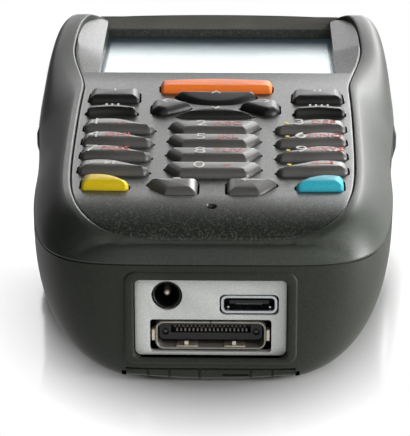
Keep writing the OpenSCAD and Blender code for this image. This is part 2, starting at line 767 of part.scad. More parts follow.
module trigger() {
    top = trigger_z + trigger_h;
    color("#34383a") {
        bar_y([0, 0], trigger_y, trigger_y + trigger_l) polygon(rounded([[trigger_in, trigger_z],
            [trigger_out - trigger_lean, trigger_z], [trigger_out, trigger_z + trigger_h * trigger_bend],
            [trigger_out, top], [trigger_in, top]], trigger_radii));
        translate([stem_in, stem_y, stem_z]) rotate([0, 90, 0])
            cylinder(r = stem_r, h = trigger_in + 0.5 - stem_in);
    }
}
module right_trigger() { trigger(); }
module left_trigger() { mirror([1, 0, 0]) trigger(); }

module scan_engine() {
    y1 = scan_wall_y - pane_t - engine_gap;
    color("#3a3d40") difference() {
        block([-engine_half, y1 - engine_l, main_top], [engine_half, y1, main_top + engine_h]);
        block([-mouth_half, y1 - mouth_l, main_top + mouth_z[0]],
            [mouth_half, y1 + 1, main_top + mouth_z[1]]);
    }
}

module scan_window() {
    half = scan_w / 2 - fit_gap + pane_lip;
    up = scan_h / 2 + pane_lip;
    color("#7a1f1f") {
        block([-half, scan_wall_y - pane_t, scan_z - up], [half, scan_wall_y, scan_z + up]);
        bar_y([0, scan_z], scan_wall_y - eps, scan_wall_y + pane_front)
            polygon(round_box(scan_w - 2 * fit_gap, scan_h - 2 * fit_gap, panel_r));
    }
}

module battery_pack() {
    color("#4a4a55") block([-battery_half, battery_near_y, battery_z],
        [battery_half, battery_far_y, battery_top]);
}

module battery_door() {
    lip_y = -flat_end - door_lip_l;
    color("#2a2d2d") {
        bar_x(door_half) polygon([[-flat_end, 0], [door_far_y, 0], [door_far_y, door_t],
            [door_rise_y, door_t], [door_rise_y, door_lip_z], [lip_y, door_lip_z], [lip_y, door_bevel_z],
            [lip_y + 0.6, door_foot_z]]);
        block([-door_half - tongue_w, door_rise_y, door_t / 2 + tongue_lift],
            [door_half + tongue_w, door_far_y, door_t]);
    }
}

module battery_contacts() {
    color("#d8b24a") for (x = contact_x)
        block([x - 1, battery_far_y, battery_z + 2], [x + 1, battery_far_y + contact_l, main_bottom]);
}

module connector_panel() {
    color("#b4b8b8") difference() {
        union() {
            bar_y([0, panel_z], panel_y, flange_back) polygon(round_box(panel_w, panel_h, panel_r));
            bar_y([0, panel_z], flange_y, flange_back) polygon(round_box(flange_w, flange_h, panel_r));
        }
        bar_y(jack_at, -far_away, far_away) circle(d = jack_d + 2 * fit_gap);
        bar_y(usb_at, -far_away, far_away)
            polygon(round_box(usb_w + 2 * port_gap, usb_h + 2 * port_gap, usb_r));
        bar_y(dock_at, -far_away, far_away)
            polygon(round_box(dock_w + 4 * dock_gap, dock_h + 2 * dock_gap, usb_r));
    }
}

module power_jack() {
    color("#1c1c1e") difference() {
        union() {
            block([jack_at[0] - jack_half, flange_back, main_top],
                [jack_at[0] + jack_half, flange_back + jack_l, jack_at[1] + jack_half]);
            bar_y(jack_at, panel_y + 0.5, flange_back + 1) circle(d = jack_d);
        }
        bar_y(jack_at, -far_away, flange_back + jack_deep) circle(d = jack_d - 2 * shell_t);
    }
}

module power_jack_pin() {
    color("#c8a04a") bar_y(jack_at, panel_y + 1.4, flange_back + jack_deep) circle(d = jack_pin_d);
}

// Metal sleeve of a port, with its open end outwards
module sleeve(at, w, h, r, y0, y1) {
    difference() {
        bar_y(at, y0, y1) polygon(round_box(w, h, r));
        bar_y(at, y0 - 1, y1 + 1) polygon(round_box(w - 2 * shell_t, h - 2 * shell_t, r - shell_t));
    }
}

module serial_shell() {
    color("#c4c8ca") {
        sleeve(usb_at, usb_w, usb_h, usb_r, port_y, usb_back);
        // Feet on the main board
        for (side = [-1, 1]) translate([usb_at[0] + side * (usb_w / 2 - 1.4), usb_back, 0])
            block([-foot_half, foot_y[0], main_top],
                [foot_half, foot_y[1], usb_at[1] - usb_h / 2 + shell_t / 2]);
    }
}

module serial_tongue() {
    w = usb_w - 2 * shell_t;
    h = usb_h - 2 * shell_t;
    color("#2a2a2c") {
        bar_y(usb_at, usb_back - 2, usb_back) polygon(round_box(w, h, usb_r - shell_t));
        bar_y(usb_at, port_y + 0.6, usb_back - 1) square([w - 2, tongue_t], center = true);
    }
}

module dock_shell() {
    color("#b8bcbe") sleeve(dock_at, dock_w, dock_h, dock_r, port_y, dock_back);
}

module dock_insulator() {
    w = dock_w - 2 * shell_t;
    h = dock_h - 2 * shell_t;
    color("#18181a") {
        bar_y(dock_at, dock_back - 3, dock_back) polygon(round_box(w, h, dock_r - shell_t));
        bar_y(dock_at, port_y + 0.8, dock_back - 2) square([w - 2 * dock_r, dock_tongue_t], center = true);
        block([-w / 2, dock_back, dock_at[1] - h / 2], [w / 2, dock_back + dock_tail, main_bottom]);
    }
}

module dock_contacts() {
    pitch = (dock_w - 2 * shell_t - 4) / dock_contacts_n;
    up = (dock_tongue_t + contact_pad[1]) / 2;
    color("#c8a850") for (i = [0 : dock_contacts_n - 1], side = [-1, 1])
        bar_y(dock_at + [(i - (dock_contacts_n - 1) / 2) * pitch, side * up], port_y + 1.2, dock_back - 3)
            square(contact_pad, center = true);
}

module radio_card() {
    color("#9a9ea0") block([-radio_half, radio_y[0], main_top],
        [radio_half, radio_y[1], main_top + radio_h]);
}

module backup_cell() { color("#c0c4c6") rod(cell_at, cell_r, main_top, main_top + cell_h); }

module speaker() { color("#303236") rod([0, speaker_y], speaker_d / 2, wall, wall + speaker_h); }

module microphone() { color("#8c9092") rod([0, mic_y], mic_r, key_board_top, key_board_top + mic_h); }

module housing_screws() {
    color("#8e9194") both() for (p = [[near_screw, near_head_z], [far_screw, far_head_z]]) {
        rod(p[0], screw_head_r, p[1] - screw_head_h, p[1]);
        rod(p[0], screw_d / 2, p[1] - eps, screw_tip_z);
    }
}

// Small screw through a board: its head lies on the side that faces away from the post
module board_screw(p, r, seat, side, tip) {
    rod(p, r, min(seat, seat + side * small_head_h), max(seat, seat + side * small_head_h));
    rod(p, post_screw_r, min(seat, tip) - (side < 0 ? eps : 0), max(seat, tip) + (side > 0 ? eps : 0));
}

module board_screws() {
    color("#8e9194") both() {
        for (p = board_posts) board_screw(p, small_head_r, key_board_bottom, -1, plate_bottom);
        for (p = tray_posts) board_screw(p, tray_head_r, lcd_bottom - tray_t, -1, plate_bottom);
        for (p = main_screws) board_screw(p, small_head_r, main_top, 1, main_bottom - main_screw_l);
    }
}

front_housing();
rear_housing();
housing_gasket();
face_plate();
display_window();
display_module();
display_tray();
keypad_board();
dome_switches();
main_board();
board_link();
side_switches();
scan_engine();
scan_window();
battery_pack();
battery_door();
battery_contacts();
connector_panel();
power_jack();
power_jack_pin();
serial_shell();
serial_tongue();
dock_shell();
dock_insulator();
dock_contacts();
radio_card();
backup_cell();
speaker();
microphone();
housing_screws();
board_screws();
left_trigger();
right_trigger();
for (k = KEYS) key(k);
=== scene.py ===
"""Looks of a handheld data collector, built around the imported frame.

Lengths are in millimetres in this script and become metres where a mesh is made.
+X is to the user's right, +Y towards the display, +Z out of the keypad.
A shape is a pair of arrays, its points and its faces. A piece is one or more shapes with a finish.
"""
import math

import bpy
import numpy as np
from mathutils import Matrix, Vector


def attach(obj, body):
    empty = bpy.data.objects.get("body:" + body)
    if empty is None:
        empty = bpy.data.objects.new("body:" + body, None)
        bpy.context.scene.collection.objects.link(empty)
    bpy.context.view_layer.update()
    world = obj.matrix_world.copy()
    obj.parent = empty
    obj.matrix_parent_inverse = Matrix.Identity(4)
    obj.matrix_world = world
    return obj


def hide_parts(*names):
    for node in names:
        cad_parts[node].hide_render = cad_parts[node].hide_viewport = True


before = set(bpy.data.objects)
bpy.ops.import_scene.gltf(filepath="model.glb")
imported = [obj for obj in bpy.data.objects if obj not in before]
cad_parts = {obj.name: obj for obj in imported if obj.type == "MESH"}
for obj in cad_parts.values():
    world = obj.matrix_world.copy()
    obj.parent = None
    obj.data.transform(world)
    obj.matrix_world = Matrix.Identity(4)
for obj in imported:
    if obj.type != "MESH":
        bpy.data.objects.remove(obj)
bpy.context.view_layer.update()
scene = bpy.context.scene
scene.view_settings.view_transform = "Standard"
MM = 0.001
CASE = "case"
LEAST_RADIUS = 0.12
# Angles in degrees: past these, an edge of a curved piece or of a boxy one shows as sharp, or is rounded
CURVED, BOXY, ROUNDED = 32, 20, 40

# Shapes


def loft(rows, ends="fan"):
    """Surface through rows of points, each row a closed loop with as many points as the next.

    Neighbouring points of neighbouring rows make quads. "fan" closes the first and last rows to
    their mean points, and "join" ties the last row to the first, as in a ring.
    """
    grid = np.stack(rows)
    m, n, _ = grid.shape
    k = np.arange(m if ends == "join" else m - 1)[:, None]
    i = np.arange(n)[None, :]
    j, up = (i + 1) % n, (k + 1) % m * n
    faces = np.stack([k * n + i, k * n + j, up + j, up + i], -1).reshape(-1, 4).tolist()
    points = grid.reshape(-1, 3)
    if ends == "fan":
        points = np.vstack([points, grid[0].mean(0), grid[-1].mean(0)])
        i, j = i[0], j[0]
        first = np.stack([j, i, np.full(n, m * n)], -1)
        last = np.stack([(m - 1) * n + i, (m - 1) * n + j, np.full(n, m * n + 1)], -1)
        faces += first.tolist() + last.tolist()
    return points, faces


def prism(outline, low, high, axis=2):
    """Flat outline drawn out along an axis: two copies of it, joined by quads and closed by faces."""
    n = len(outline)
    ends = [np.insert(outline, axis, level, axis=1) for level in (low, high)]
    i = np.arange(n)
    j = (i + 1) % n
    sides = np.stack([i, j, n + j, n + i], -1).tolist()
    return np.vstack(ends), sides + [i[::-1].tolist(), (n + i).tolist()]


def block(low, high):
    """Box between two corners."""
    (x0, y0, z0), (x1, y1, z1) = low, high
    return prism(np.array([[x0, y0], [x1, y0], [x1, y1], [x0, y1]], float), z0, z1)


def mirrored(shape):
    """The same shape on the other side of the middle plane, x turned to -x."""
    points, faces = shape
    return points * (-1, 1, 1), [f[::-1] for f in faces]


def both_sides(*shapes):
    """The shapes and their mirror images."""
    return [s for shape in shapes for s in (shape, mirrored(shape))]


def volume(points, faces):
    """Signed volume inside the faces: a sixth of the triple products over fans of each face."""
    total = 0.0
    for size in {len(f) for f in faces}:
        corners = points[np.array([f for f in faces if len(f) == size])]
        for k in range(1, size - 1):
            a, b, c = corners[:, 0], corners[:, k], corners[:, k + 1]
            total += (a * np.cross(b, c)).sum() / 6
    return total


def mesh_object(name, shapes):
    """Object at the origin whose mesh holds the shapes, each with its faces turned outwards."""
    points, faces, start = [], [], 0
    for p, f in shapes:
        if volume(p, f) < 0:
            f = [face[::-1] for face in f]
        points.append(p * MM)
        faces += [[start + v for v in face] for face in f]
        start += len(p)
    mesh = bpy.data.meshes.new(name)
    mesh.from_pydata(np.vstack(points).tolist(), [], faces)
    mesh.update()
    obj = bpy.data.objects.new(name, mesh)
    scene.collection.objects.link(obj)
    return obj


def carve(obj, shapes):
    """Cuts each shape out of the object's mesh."""
    cutters = [mesh_object("cutter", [s]) for s in shapes]
    for c in cutters:
        cut = obj.modifiers.new("cut", "BOOLEAN")
        cut.operation, cut.object, cut.solver = "DIFFERENCE", c, "MANIFOLD"
    bake_modifiers(obj)
    for c in cutters:
        bpy.data.meshes.remove(c.data)


def bake_modifiers(obj):
    """Puts the result of the object's modifiers into its mesh."""
    graph = bpy.context.evaluated_depsgraph_get()
    mesh = bpy.data.meshes.new_from_object(obj.evaluated_get(graph))
    old, obj.data = obj.data, mesh
    obj.modifiers.clear()
    mesh.name = obj.name
    bpy.data.meshes.remove(old)


def soften(obj, width, segments):
    """Rounds the sharp edges."""
    bevel = obj.modifiers.new("edges", "BEVEL")
    bevel.width, bevel.segments = width * MM, segments
    bevel.limit_method, bevel.angle_limit = "ANGLE", math.radians(ROUNDED)
    bevel.use_clamp_overlap = True
    bake_modifiers(obj)


def shade(obj, sharp):
    """Smooth shading, with sharp edges past an angle."""
    obj.data.shade_smooth()
    obj.data.set_sharp_from_angle(angle=math.radians(sharp))


def even_shading(obj):
    """Smooth shading in which large flat faces keep their own direction up to their edges."""
    shade(obj, CURVED)
    weigh = obj.modifiers.new("weigh", "WEIGHTED_NORMAL")
    weigh.mode, weigh.keep_sharp = "FACE_AREA", True
    bake_modifiers(obj)


def piece(name, shapes, finish, slot, body=CASE, node=None, cuts=(), edge=0.0, segments=2, sharp=CURVED):
    """Makes a piece from shapes, less what is cut out, with edges rounded to a width where asked.

    It gets its finish, its body, and the node that it stands for, if any. Its slot argument is not used.
    """
    obj = mesh_object(name, shapes)
    if cuts:
        carve(obj, cuts)
    if edge:
        soften(obj, edge, segments)
    obj.data.materials.clear()
    obj.data.materials.append(finish)
    shade(obj, sharp)
    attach(obj, body)
    if node:
        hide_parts(node)
    return obj


# Outlines


def rounded(points, radii, n=6):
    """Corners turned into arcs: each arc's points are the two tangent directions, blended by angle."""
    p, r = np.asarray(points, float), np.asarray(radii, float)[:, None]
    u, v = np.roll(p, 1, 0) - p, np.roll(p, -1, 0) - p
    u /= np.linalg.norm(u, axis=1, keepdims=True)
    v /= np.linalg.norm(v, axis=1, keepdims=True)
    bend = np.arccos(np.clip((u * v).sum(1, keepdims=True), -1, 1))
    middle = (u + v) / np.linalg.norm(u + v, axis=1, keepdims=True)
    centre = p + middle * r / np.sin(bend / 2)
    a = p + u * r / np.tan(bend / 2) - centre
    b = p + v * r / np.tan(bend / 2) - centre
    sweep = (math.pi - bend)[:, :, None]
    k = np.linspace(0, 1, n + 1)[None, :, None]
    arc = (a[:, None] * np.sin(sweep * (1 - k)) + b[:, None] * np.sin(sweep * k)) / np.sin(sweep)
    return (centre[:, None] + arc).reshape(-1, 2)


def inset(points, radii, d):
    """Corners whose sides have moved in by d, with the radii that keep the arcs concentric."""
    p, r = np.asarray(points, float), np.asarray(radii, float)
    along = np.roll(p, -1, 0) - p
    along /= np.linalg.norm(along, axis=1, keepdims=True)
    normal = np.stack([-along[:, 1], along[:, 0]], 1)
    before = np.roll(normal, 1, 0)
    moved = p + (normal + before) * d / (1 + (normal * before).sum(1, keepdims=True))
    last = np.roll(along, 1, 0)
    turn = np.sign(last[:, 0] * along[:, 1] - last[:, 1] * along[:, 0])
    return moved, np.maximum(r - turn * d, LEAST_RADIUS)


def box_corners(w, h, at):
    """Corners of a rectangle about a point, anticlockwise."""
    return np.array([[-w, -h], [w, -h], [w, h], [-w, h]]) / 2 + at


def round_box(w, h, r, at):
    """Outline of a rectangle about a point, with rounded corners."""
    return rounded(box_corners(w, h, at), [r] * 4)


def circle(r, at=(0, 0), n=40):
    """Outline of a circle."""
    a = 2 * math.pi * np.arange(n) / n
    return np.stack([np.cos(a), np.sin(a)], 1) * r + at


def upright(outline, y):
    """Outline in x and z, set at a place along y."""
    return np.insert(outline, 1, y, axis=1)


def level(outline, z):
    """Outline in x and y, set at a height."""
    return np.insert(outline, 2, z, axis=1)


# Forms of the body, as in the solids: clearances and wall
FIT, SLIDE, WALL = 0.15, 0.35, 2.0
# Length, seam and flat underside
HALF_L, SEAM_Z, FLAT_HALF, FLAT_END = 76.0, 24.2, 17.7, 72.0
# Ends of the face plate and of the rim around it
PLATE_NEAR, PLATE_FAR, RIM_NEAR, RIM_FAR = 73.2, 72.0, 74.4, 73.2
# Half-widths at the near end, what they gain along y, and from where to where
SEAM_W, SEAM_WAIST, SEAM_HEAD = 35, 1.5, 3.5
PLATE_W, PLATE_WAIST, PLATE_EAR = 28, 1.5, 4
RIM_W, RIM_EAR = 1.5, 1.0
WAIST_RUN, HEAD_RUN, KEYPAD_RUN, EAR_RUN = (-70, -25), (-30, 25), (-65, 15), (14, 44)
# Heights of the face plate and of the rim, what they gain or lose, and from where to where
PLATE_Z, PLATE_T, NOSE_Y, NOSE_L, NOSE_FALL = 32.0, 3, -58.0, 15.6, 5
EAR_RISE, BROW_DIP, RIM_PROUD, RIM_DIP = 3.75, 1.2, 0.5, 1.8
RISE_RUN, BROW_RUN, RIM_RUN = (20, 66), (69, 72), (66, 72)
# Powers of the outline at its near and far ends, of the back, and of the shoulders
NEAR_POWER, FAR_POWER = 6.0, 9.0
BACK_POWER, END_POWER = 2 / 2.5, 2 / 2.4
SHOULDER_ROUND, SHOULDER_SQUARE, SHOULDER_RUN = 1.25, 1.6, (5, 40)


def smooth(a, b, y):
    """Rises from 0 at a to 1 at b, level at both: u squared times three less two u."""
    u = np.clip((y - a) / (b - a), 0, 1)
    return u * u * (3 - 2 * u)


def seam_half(y):
    """Half-width of the body at the seam: near end, waist and head, one after the other."""
    return SEAM_W + SEAM_WAIST * smooth(*WAIST_RUN, y) + SEAM_HEAD * smooth(*HEAD_RUN, y)


def plate_half(y):
    """Half-width of the face plate: keypad, then the ears beside the display."""
    return PLATE_W + PLATE_WAIST * smooth(*KEYPAD_RUN, y) + PLATE_EAR * smooth(*EAR_RUN, y)


def rim_half(y):
    """Half-width of the housing's rim: the face plate and a strip that widens at the ears."""
    return plate_half(y) + RIM_W + RIM_EAR * smooth(*EAR_RUN, y)


def nose(y):
    """Fall of the face plate at its near end, as a quarter circle from 0 to 1."""
    u = np.clip((NOSE_Y - y) / NOSE_L, 0, 1)
    return 1 - np.sqrt(1 - u * u)


def plate_top(y):
    """Height of the face plate: level, less the nose's fall, a rise to the ears, a dip at the brow."""
    level_and_nose = PLATE_Z - NOSE_FALL * nose(y)
    return level_and_nose + EAR_RISE * smooth(*RISE_RUN, y) - BROW_DIP * smooth(*BROW_RUN, y)


def rim_top(y):
    """Height of the housing's rim: half a millimetre proud, and lower behind the brow."""
    return plate_top(y) + RIM_PROUD - RIM_DIP * smooth(*RIM_RUN, y)


def plate_floor(y):
    """Height of the face plate's underside."""
    return PLATE_Z - PLATE_T - NOSE_FALL * nose(y)


def squarish(columns):
    """Outline of size one, squarer than a circle: at each angle, the powers of x and y add up to one."""
    angle = 2 * math.pi * (np.arange(columns) + 0.5) / columns
    c, s = np.cos(angle), np.sin(angle)
    power = np.where(s < 0, NEAR_POWER, FAR_POWER)
    reach = (np.abs(c) ** power + np.abs(s) ** power) ** (-1 / power)
    return c * reach, s * reach


QX, QY = squarish(columns=480)


def column(x, y, z):
    """Row of points from its three coordinates, any of which may be one number."""
    return np.stack(np.broadcast_arrays(x, y, z), 1).astype(float)


def plate_ring(grow, height):
    """Face plate's outline, grown outwards, at a height given along y."""
    y = QY * (np.where(QY < 0, PLATE_NEAR, PLATE_FAR) + grow)
    return column(QX * (plate_half(y) + grow), y, height(y))


def seam_ring(grow, z):
    """Body's outline at the seam, grown outwards, at a height."""
    y = QY * (HALF_L + grow)
    return column(QX * (seam_half(y) + grow), y, z)


def rear_ring(t, inside=0.0):
    """Ring of the rear skin, from the seam at 0 to the flat underside at 90 degrees.

    Width and fall are a cosine and a sine to one power, which is fuller than an ellipse. The ends
    follow a fourth-power curve, so that they stand nearly upright before they turn in.
    """
    c, s = max(math.cos(t), 0.0) ** BACK_POWER, math.sin(t) ** BACK_POWER
    y = QY * (FLAT_END + (HALF_L - FLAT_END) * (1 - s**4) ** 0.25 - inside)
    flat = FLAT_HALF - inside / 2
    x = QX * (flat + (seam_half(y) - inside - flat) * c)
    return column(x, y, inside + (SEAM_Z - inside) * (1 - s))


def front_ring(t):
    """Ring of the front skin, from the seam at 0 to the rim at 90 degrees.

    Width and height are a cosine and a sine to a power that makes the shoulder round beside the
    keypad and square beside the display.
    """
    c, s = max(math.cos(t), 0.0), math.sin(t)
    end = np.where(QY < 0, RIM_NEAR, RIM_FAR)
    y = QY * (end + (HALF_L - end) * c**END_POWER)
    power = 2 / (SHOULDER_ROUND + SHOULDER_SQUARE * smooth(*SHOULDER_RUN, y))
    x = rim_half(y) + (seam_half(y) - rim_half(y)) * c**power
    return column(QX * x, y, SEAM_Z + (rim_top(y) - SEAM_Z) * s**power)


# Finishes


def linear(hexcode):
    """Linear colour from an sRGB hex value."""
    c = np.array([int(hexcode[i : i + 2], 16) for i in (1, 3, 5)]) / 255
    c = np.where(c <= 0.04045, c / 12.92, ((c + 0.055) / 1.055) ** 2.4)
    return (*c.tolist(), 1.0)


def add(tree, kind, inputs=None, **settings):
    """Adds a node: its settings by name, its inputs as values or as the sockets to link."""
    made = tree.nodes.new(kind)
    for name, value in settings.items():
        setattr(made, name, value)
    for name, value in (inputs or {}).items():
        if isinstance(value, bpy.types.NodeSocket):
            tree.links.new(value, made.inputs[name])
        else:
            made.inputs[name].default_value = value
    return made


def new_finish(name):
    """Empty material, its node tree and the piece's own coordinates."""
    material = bpy.data.materials.new(name)
    material.use_nodes = True
    tree = material.node_tree
    tree.nodes.clear()
    return material, tree, add(tree, "ShaderNodeTexCoord").outputs["Object"]


def per_mm(size):
    """Noise scale at which one feature is this many millimetres."""
    return 1 / (size * MM)


def grained(tree, colour, grain, gloss, bump, plain):
    """Ends a finish: its colour, gloss and bump that follow its grain, and what is even all over."""
    (low, high), (strength, depth) = gloss, bump
    rough = add(tree, "ShaderNodeMapRange", {"Value": grain, "To Min": low, "To Max": high})
    relief = add(tree, "ShaderNodeBump", {"Height": grain, "Strength": strength, "Distance": depth * MM})
    shader = add(tree, "ShaderNodeBsdfPrincipled", {
        "Base Color": colour, "Roughness": rough.outputs["Result"], "Normal": relief.outputs["Normal"],
        **plain,
    })
    add(tree, "ShaderNodeOutputMaterial", {"Surface": shader.outputs["BSDF"]})


CLOUD_SIZE, CLOUD = 14, 0.25


def moulded(name, base, fleck, grain, rough, specular=0.5):
    """Moulded plastic or rubber: grain of a size and depth in the bump, a faint cloud in the colour.

    Real grain is about a tenth of a millimetre. It is drawn three to nine times coarser, to show.
    On a polished pane it is a slow ripple of a few millimetres instead.
    """
    material, tree, place = new_finish(name)
    size, depth = grain
    fine = add(tree, "ShaderNodeTexNoise", {
        "Vector": place, "Scale": per_mm(size), "Detail": 3.0, "Roughness": 0.6,
    }).outputs["Fac"]
    broad = add(tree, "ShaderNodeTexNoise", {"Vector": place, "Scale": per_mm(CLOUD_SIZE), "Detail": 2.0})
    spread = add(tree, "ShaderNodeMapRange", {"Value": fine, "From Min": 0.35, "From Max": 0.75})
    mix = add(tree, "ShaderNodeMix", {
        "Factor": spread.outputs["Result"], "A": linear(base), "B": linear(fleck),
    }, data_type="RGBA")
    tone = add(tree, "ShaderNodeMapRange", {
        "Value": broad.outputs["Fac"], "From Min": 0.3, "From Max": 0.7,
        "To Min": 1 - CLOUD / 2, "To Max": 1 + CLOUD / 2,
    })
    hue = add(tree, "ShaderNodeHueSaturation", {
        "Color": mix.outputs["Result"], "Value": tone.outputs["Result"],
    })
    gloss, bump = (rough - 0.06, rough + 0.08), (0.35, depth)
    grained(tree, hue.outputs["Color"], fine, gloss, bump, {"Specular IOR Level": specular})
    return material


def flaked(name, base, flake, size, rough, specular, metallic):
    """Metallic-flake paint on plastic: cells of one size, some of them bright, in a fine ripple.

    Real flakes are a few hundredths of a millimetre. They are drawn about ten times coarser, to show.
    """
    material, tree, place = new_finish(name)
    cells = add(tree, "ShaderNodeTexVoronoi", {"Vector": place, "Scale": per_mm(size)})
    fine = add(tree, "ShaderNodeTexNoise", {
        "Vector": place, "Scale": per_mm(size * 0.7), "Detail": 2.0,
    }).outputs["Fac"]
    bright = add(tree, "ShaderNodeMapRange", {
        "Value": cells.outputs["Color"], "From Min": 0.55, "From Max": 0.95,
    })
    mix = add(tree, "ShaderNodeMix", {
        "Factor": bright.outputs["Result"], "A": linear(base), "B": linear(flake),
    }, data_type="RGBA")
    gloss, bump = (rough - 0.08, rough + 0.1), (0.3, 0.06)
    plain = {"Specular IOR Level": specular, "Metallic": metallic}
    grained(tree, mix.outputs["Result"], fine, gloss, bump, plain)
    return material


def metal(name, colour, tarnish, rough, stretch=(1, 1, 1), metallic=1.0):
    """Plated or rolled metal: fine lines, stretched one way where asked, and a faint tarnish.

    Real lines are a few hundredths of a millimetre. They are drawn about ten times coarser, to show.
    """
    material, tree, place = new_finish(name)
    turned = add(tree, "ShaderNodeMapping", {"Vector": place, "Scale": stretch})
    lines = add(tree, "ShaderNodeTexNoise", {
        "Vector": turned.outputs["Vector"], "Scale": per_mm(0.4), "Detail": 3.0,
    }).outputs["Fac"]
    mix = add(tree, "ShaderNodeMix", {
        "Factor": lines, "A": linear(colour), "B": linear(tarnish),
    }, data_type="RGBA")
    gloss, bump = (rough - 0.08, rough + 0.12), (0.15, 0.02)
    grained(tree, mix.outputs["Result"], lines, gloss, bump, {"Metallic": metallic})
    return material


# Size and depth of each kind of grain
ERODED, FINE_ERODED, COATED, SMOOTH_NYLON = (0.45, 0.05), (0.5, 0.04), (0.6, 0.02), (0.4, 0.02)
PRINTED, LACQUERED, SATIN, FILM = (0.3, 0.01), (0.8, 0.02), (0.5, 0.03), (0.8, 0.01)
WRAPPED, SEALING, POLISHED = (0.9, 0.02), (0.4, 0.03), (3.0, 0.002)

# Spark-eroded PC/ABS: the grain breaks up the gloss, so dark plastic shows grey where light grazes it
front_abs = moulded("charcoal_abs_front", "#30342e", "#3d423b", ERODED, rough=0.45, specular=0.5)
# The same plastic with a duller skin, painted darker for the shade on the back, flanks and near end, so
# that the back recedes under the shoulders
shaded_rear_abs = moulded("charcoal_abs_rear", "#232620", "#30342c", ERODED, rough=0.55, specular=0.3)
# Painted light on the brow: a matt, plain mid grey, lighter than the face plate, laid on the brow's leaning
# face for the light that it catches, with no highlight, which sets off the display's edge
brow_light_paint = moulded("matt_brow_light_paint", "#62615c", "#6c6b66", FINE_ERODED, rough=0.7, specular=0.2)
# Metallic-flake lacquer: a dark ground with bright specks, which mirrors the light as a broad sheen
face_paint = flaked(
    "flaked_grey_paint", "#292c28", "#50544c", size=0.3, rough=0.34, specular=0.45, metallic=0.0,
)
# Silicone under a hard clear coat: an even colour, with a satin light along the crowned tops
grey_rubber = moulded("coated_grey_silicone", "#535250", "#5f5d5a", COATED, rough=0.38, specular=0.7)
dark_rubber = moulded("coated_dark_silicone", "#1b1b1a", "#242423", COATED, rough=0.42, specular=0.45)
# Coloured silicone under the same coat: strong colour up to the edges, and only a faint light on it
orange_rubber = moulded("coated_orange_silicone", "#ff7c28", "#ff8838", COATED, rough=0.48, specular=0.3)
yellow_rubber = moulded("coated_yellow_silicone", "#e2c312", "#e8cc26", COATED, rough=0.46, specular=0.22)
cyan_rubber = moulded("coated_cyan_silicone", "#33b2c6", "#45bccf", COATED, rough=0.48, specular=0.25)
# Soft rubber of the triggers: dull, so that they hardly stand out from the flanks
trigger_rubber = moulded(
    "charcoal_trigger_rubber", "#26292a", "#34383a", FINE_ERODED, rough=0.55, specular=0.35,
)
# Silver paint with very fine flakes: pale and softly bright, with no sharp mirror image
silver_paint = flaked(
    "silver_painted_panel", "#d2d4d1", "#e4e6e2", size=0.22, rough=0.42, specular=0.5, metallic=0.3,
)
# Moulded nylon of the ports: near black, with a dull light on its edges only
black_nylon = moulded("black_connector_nylon", "#0e0e10", "#1a1a1c", SMOOTH_NYLON, rough=0.45, specular=0.4)
# Printed ink: flat colour without a light of its own, so that marks read at any angle
white_ink = moulded("white_printed_ink", "#cfcdc6", "#dad8d1", PRINTED, rough=0.55, specular=0.3)
red_ink = moulded("red_printed_ink", "#bd4a36", "#c65a45", PRINTED, rough=0.55, specular=0.3)
# Tinned and spring steel: bright and cool, with blurred mirror images
tinned_steel = metal("tinned_port_steel", "#c3c6c8", "#9a9da0", rough=0.28)
spring_steel = metal("bright_spring_steel", "#d8dadb", "#b0b3b5", rough=0.25)
# Worn nickel and a plated pin: warm and cloudy, more grey than mirror
dull_nickel = metal("dull_nickel_shell", "#b3aea4", "#827d73", rough=0.42, metallic=0.6)
plated_pin = metal("plated_jack_pin", "#e0d6c6", "#b7ac9a", rough=0.35, metallic=0.7)
# Plated brass: yellow and bright against the boards
plated_brass = metal("plated_contact_brass", "#d9b45c", "#a8823a", rough=0.3)
# Blackened steel: dark, with a light that still tells it from plastic
screw_steel = metal("blackened_screw_steel", "#55585a", "#3a3c3e", rough=0.38)
# Rolled sheet: grey, with lines along the way that it was rolled
sheet_steel = metal("rolled_sheet_steel", "#b9bcbf", "#8e9194", rough=0.35, stretch=(1, 8, 1))
# Lacquer on the boards, moulded cases, cable film and cell wrap: plain colours that tell them apart
solder_mask = moulded("green_solder_mask", "#1d5a30", "#2a6d3d", LACQUERED, rough=0.35)
module_plastic = moulded("grey_module_plastic", "#3c3f42", "#4a4e51", SATIN, rough=0.5)
cable_film = moulded("amber_cable_film", "#a8702a", "#b98238", FILM, rough=0.3)
cell_wrap = moulded("grey_cell_wrap", "#3d3d45", "#4a4a54", WRAPPED, rough=0.4)
# Seal rubber: black with hardly any light, so that the seam reads as a line
seal_rubber = moulded("black_seal_rubber", "#0c0c0c", "#161616", SEALING, rough=0.6, specular=0.3)
# Polished filter pane: nearly black, with a red tint and a sharp mirror image
scan_red = moulded("dark_red_scan_pane", "#2a0606", "#350909", POLISHED, rough=0.08)

BORDER_SOFT = 0.15


